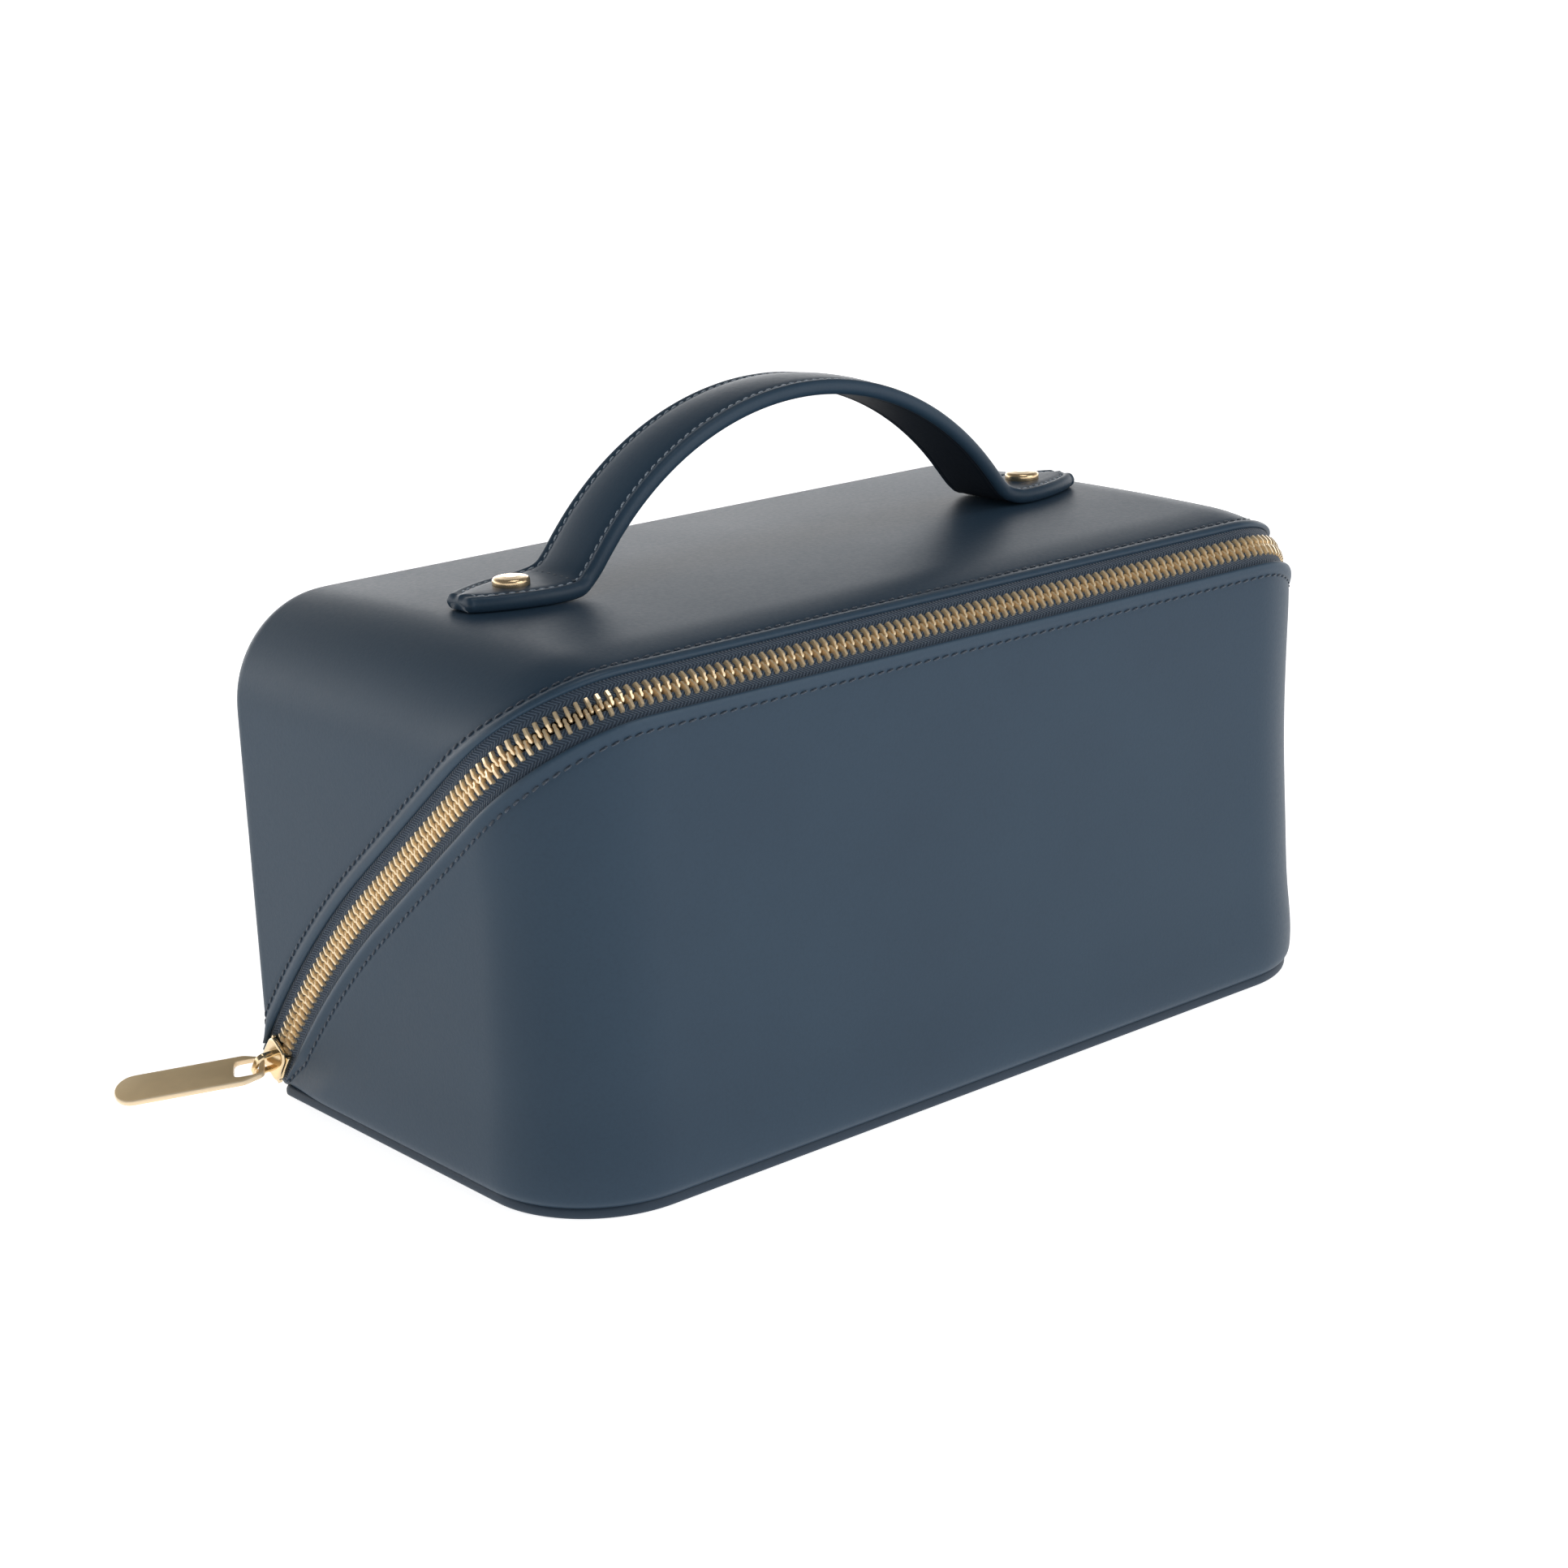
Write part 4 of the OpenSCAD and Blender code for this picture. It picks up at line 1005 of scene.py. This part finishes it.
# ---------- base, back and hinge
baseForm = dict(footHeight=3.1, footHalf=1.35, footIn=1.5, footEnd=54.6, panelIn=2.2,
                panelHalf=120.8, panelEnd=61, boardIn=0.9)
backForm = dict(sideIn=5.3, lowHalf=116.0, ringFrom=14.0, soft=3.4, liningOut=2.0, seamIn=3.6, seamOver=0.16)


def planOutline(inset):
    # left end, front-left corner, front: half the plan, mirrored into one open path
    b = bodyForm
    g = np.linspace(0, math.pi / 2, 40)
    c = b["frontCorner"]
    corner = np.column_stack([-b["halfWidth"] + c * (1 - np.cos(g)), -b["halfDepth"] + c * (1 - np.sin(g))])
    half = np.concatenate([[[-b["halfWidth"], baseForm["footEnd"]]], corner, [[0, -b["halfDepth"]]]])
    path = resampled(mirrored(half), 420)
    return path + inset * leftOf(path)


def makeFoot(f):
    # a rounded welt carried round the plan just under the wall
    a = np.linspace(0, 2 * math.pi, 20, endpoint=False)
    h = f["footHeight"] / 2
    reach = [f["footHalf"], h]
    section = np.column_stack([np.cos(a), np.sin(a)]) * reach
    section = np.sign(section) * np.abs(section / reach) ** 0.8 * reach
    path = planOutline(f["footIn"])
    flat = path[:, None] - leftOf(path)[:, None] * section[None, :, :1]
    z = np.broadcast_to(h + section[None, :, 1:], flat.shape[:2] + (1,))
    piece = tube("footWelt", np.concatenate([flat, z], -1))
    finishPiece(piece, baseLeather, "tray", "base_leather", "base_foot_strip")


def makeBase(f):
    # leather under the base, and the board that stands on it
    side, end, back = f["panelHalf"], f["footEnd"], f["panelEnd"]
    rear = [[side, end], [side, back], [-side, back], [-side, end]]
    outline = evenly(np.concatenate([planOutline(f["panelIn"]), rear]), 1.5, 1.0)
    rim = [(0.6, 0.06), (0.15, 0.12), (0, 0.4), (0, 0.7), (0.2, 0.9)]
    panel = plate("basePanel", outline, rim, (0, 0, 0), *flatAxes)
    finishPiece(panel, baseLeather, "tray", "base_leather", "base_panel")
    rim = [(0.1, 0.95), (0, 1.05), (0, 2.9), (0.1, 3.0)]
    board = plate("baseBoard", insetOf(outline, f["boardIn"]), rim, (0, 0, 0), *flatAxes)
    finishPiece(board, fibreBoard, "tray", "stiffener_board", "base_board")


def makeBack(f):
    # the back leather is a softly crowned panel let in between the wrapped edges
    low, y = bodyForm["lidFootZ"], bodyForm["halfDepth"]
    use = tunnel[:, 1] > f["ringFrom"]
    drawn = tunnel[use] - unit(tunnelNormal[use]) * f["sideIn"]
    outline = np.concatenate([drawn, [[f["lowHalf"], low], [-f["lowHalf"], low]]])[::-1]
    outline = evenly(outline, 1.5, f["soft"])
    rim = [(0.8, -1.25), (0.1, -1.2), (0, -1.0), (0, -0.5), (0.12, -0.2),
           (0.5, 0.02), (1.2, 0.12), (3.0, 0.2), (3.6, 0.02), (4.2, 0.2)]
    panel = plate("backPanel", outline, rim, (0, y, 0), *backAxes, crown=0.5)
    finishPiece(panel, skinLeather, "lid", "outer_leather", "lid_back_panel")
    rim = [(0.1, -3.0), (0, -2.9), (0, -1.35), (0.1, -1.3)]
    board = plate("backBoard", outline, rim, (0, y, 0), *backAxes)
    finishPiece(board, fibreBoard, "lid", "stiffener_board", "lid_back_board")
    rim = [(0, -3.5), (0, -3.05)]
    inner = plate("backLining", insetOf(outline, -f["liningOut"]), rim, (0, y, 0), *backAxes)
    finishPiece(inner, liningCloth, "lid", "lining_cloth", "lid_lining")
    seam = insetOf(outline, f["seamIn"])
    seam = np.concatenate([seam, seam[:1]])
    path = np.column_stack([seam[:, 0], np.full(len(seam), y + f["seamOver"]), seam[:, 1]])
    pitch, length = stitchForm["lipPitch"], stitchForm["lipLength"]
    facing = np.tile([0.0, 1, 0], (len(path), 1))
    sewAlong("backSeam", path, facing, pitch, length, seamThread, "lid", "outer_leather")


hingeForm = dict(half=116.0, axisY=63.5, axisZ=2.0, radius=1.95, thickness=1.0, runFrom=59.0, runTo=61.0,
                 riseFrom=3.4, riseTo=4.6)


def makeHinge(f):
    # a leather strip from under the base, round the hinge line, up onto the back: its middle line is
    # a level run, a quarter circle and an upright run
    a = np.linspace(-math.pi / 2, 0, 14)
    r = f["radius"] - f["thickness"] / 2
    bend = np.column_stack([f["axisY"] + r * np.cos(a), f["axisZ"] + r * np.sin(a)])
    level = [[y, bend[0, 1]] for y in (f["runFrom"], f["runTo"])]
    upright = [[bend[-1, 0], z] for z in (f["riseFrom"], f["riseTo"])]
    middle = np.concatenate([level, bend, upright])
    side = leftOf(middle) * f["thickness"] / 2
    outline = np.concatenate([middle - side, (middle + side)[::-1]])
    x = np.linspace(-f["half"], f["half"], 60)[:, None]
    piece = tube("hingeStrip", np.stack(np.broadcast_arrays(x, outline[None, :, 0], outline[None, :, 1]), -1))
    piece.data.materials.append(baseLeather)
    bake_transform(piece)
    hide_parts("hinge_fold")


makeFoot(baseForm)
makeBase(baseForm)
makeBack(backForm)
makeHinge(hingeForm)

# ---------- finishes for the parts that stay as the frame gives them
kept = dict(base_lining=liningCloth, zip_top_stop=toothGoldPaintedLight,
            zip_bottom_stop=toothGoldPaintedLight, rivet_posts=rivetGold, rivet_washers=rivetGold)
for node, material in kept.items():
    part = frame["nodes"][node]
    for place in part.material_slots:
        place.material = material
    if not part.material_slots:
        part.data.materials.append(material)
print("base, back and hinge made")


# ---------- floor and light
studio = dict(floor=(0.85, 0.85, 0.85), floorGlow=0.85, floorHalf=60000.0, floorZ=-0.05,
              low=0.12, high=0.5, behind=2.5, aside=0.5, spread=0.36, band=0.9, bandSpread=0.13)


def makeFloor():
    side, z = studio["floorHalf"], studio["floorZ"]
    grid = np.array([[-side, -side, z], [side, -side, z], [side, side, z], [-side, side, z]])
    floor = makeMesh("studioFloor", grid, np.arange(4), np.array([4]), smooth=False)
    f = Finish("paleFloor", Base_Color=rgba(studio["floor"]), Roughness=0.7, Emission_Color=rgba((1, 1, 1)),
               Emission_Strength=studio["floorGlow"], Specular_IOR_Level=0.1)
    floor.data.materials.append(f.material)


def areaLight(name, spot, target, size, power):
    data = bpy.data.lights.new(name, "AREA")
    data.shape, data.size, data.size_y, data.energy = "RECTANGLE", *size, power
    lamp = bpy.data.objects.new(name, data)
    bpy.context.scene.collection.objects.link(lamp)
    lamp.location = spot
    lamp.rotation_euler = (Vector(target) - Vector(spot)).to_track_quat("-Z", "Y").to_euler()


def softRoom(r):
    # a room that is bright low down, most of all behind, and dim overhead: each term falls off as
    # exp(-(z / spread)^2)
    world = bpy.data.worlds.new("softRoom")
    bpy.context.scene.world = world
    world.use_nodes = True
    g = Graph(world.node_tree)
    x, y, z = g.parts(g.add("ShaderNodeTexCoord", {}, {}, "Generated"))
    glow, rim = (2.718 ** ((z / spread) * (z / spread) * -1.0) for spread in (r["spread"], r["bandSpread"]))
    strength = r["low"] + rim * r["band"] + glow * (r["high"] + x * r["aside"] + y.between() * r["behind"])
    g.tree.links.new(strength.out, g.tree.nodes["Background"].inputs["Strength"])
    g.tree.nodes["Background"].inputs["Color"].default_value = (1, 1, 1, 1)


makeFloor()
softRoom(studio)
heart = (0, 0, 0.06)  # what both lights face, in metres
areaLight("keyLight", (0.45, -1.3, 0.75), heart, (1.0, 0.8), 5.2)
areaLight("topLight", (0.1, -0.2, 1.5), heart, (0.6, 0.6), 3.0)
bpy.context.scene.view_settings.view_transform = "Standard"
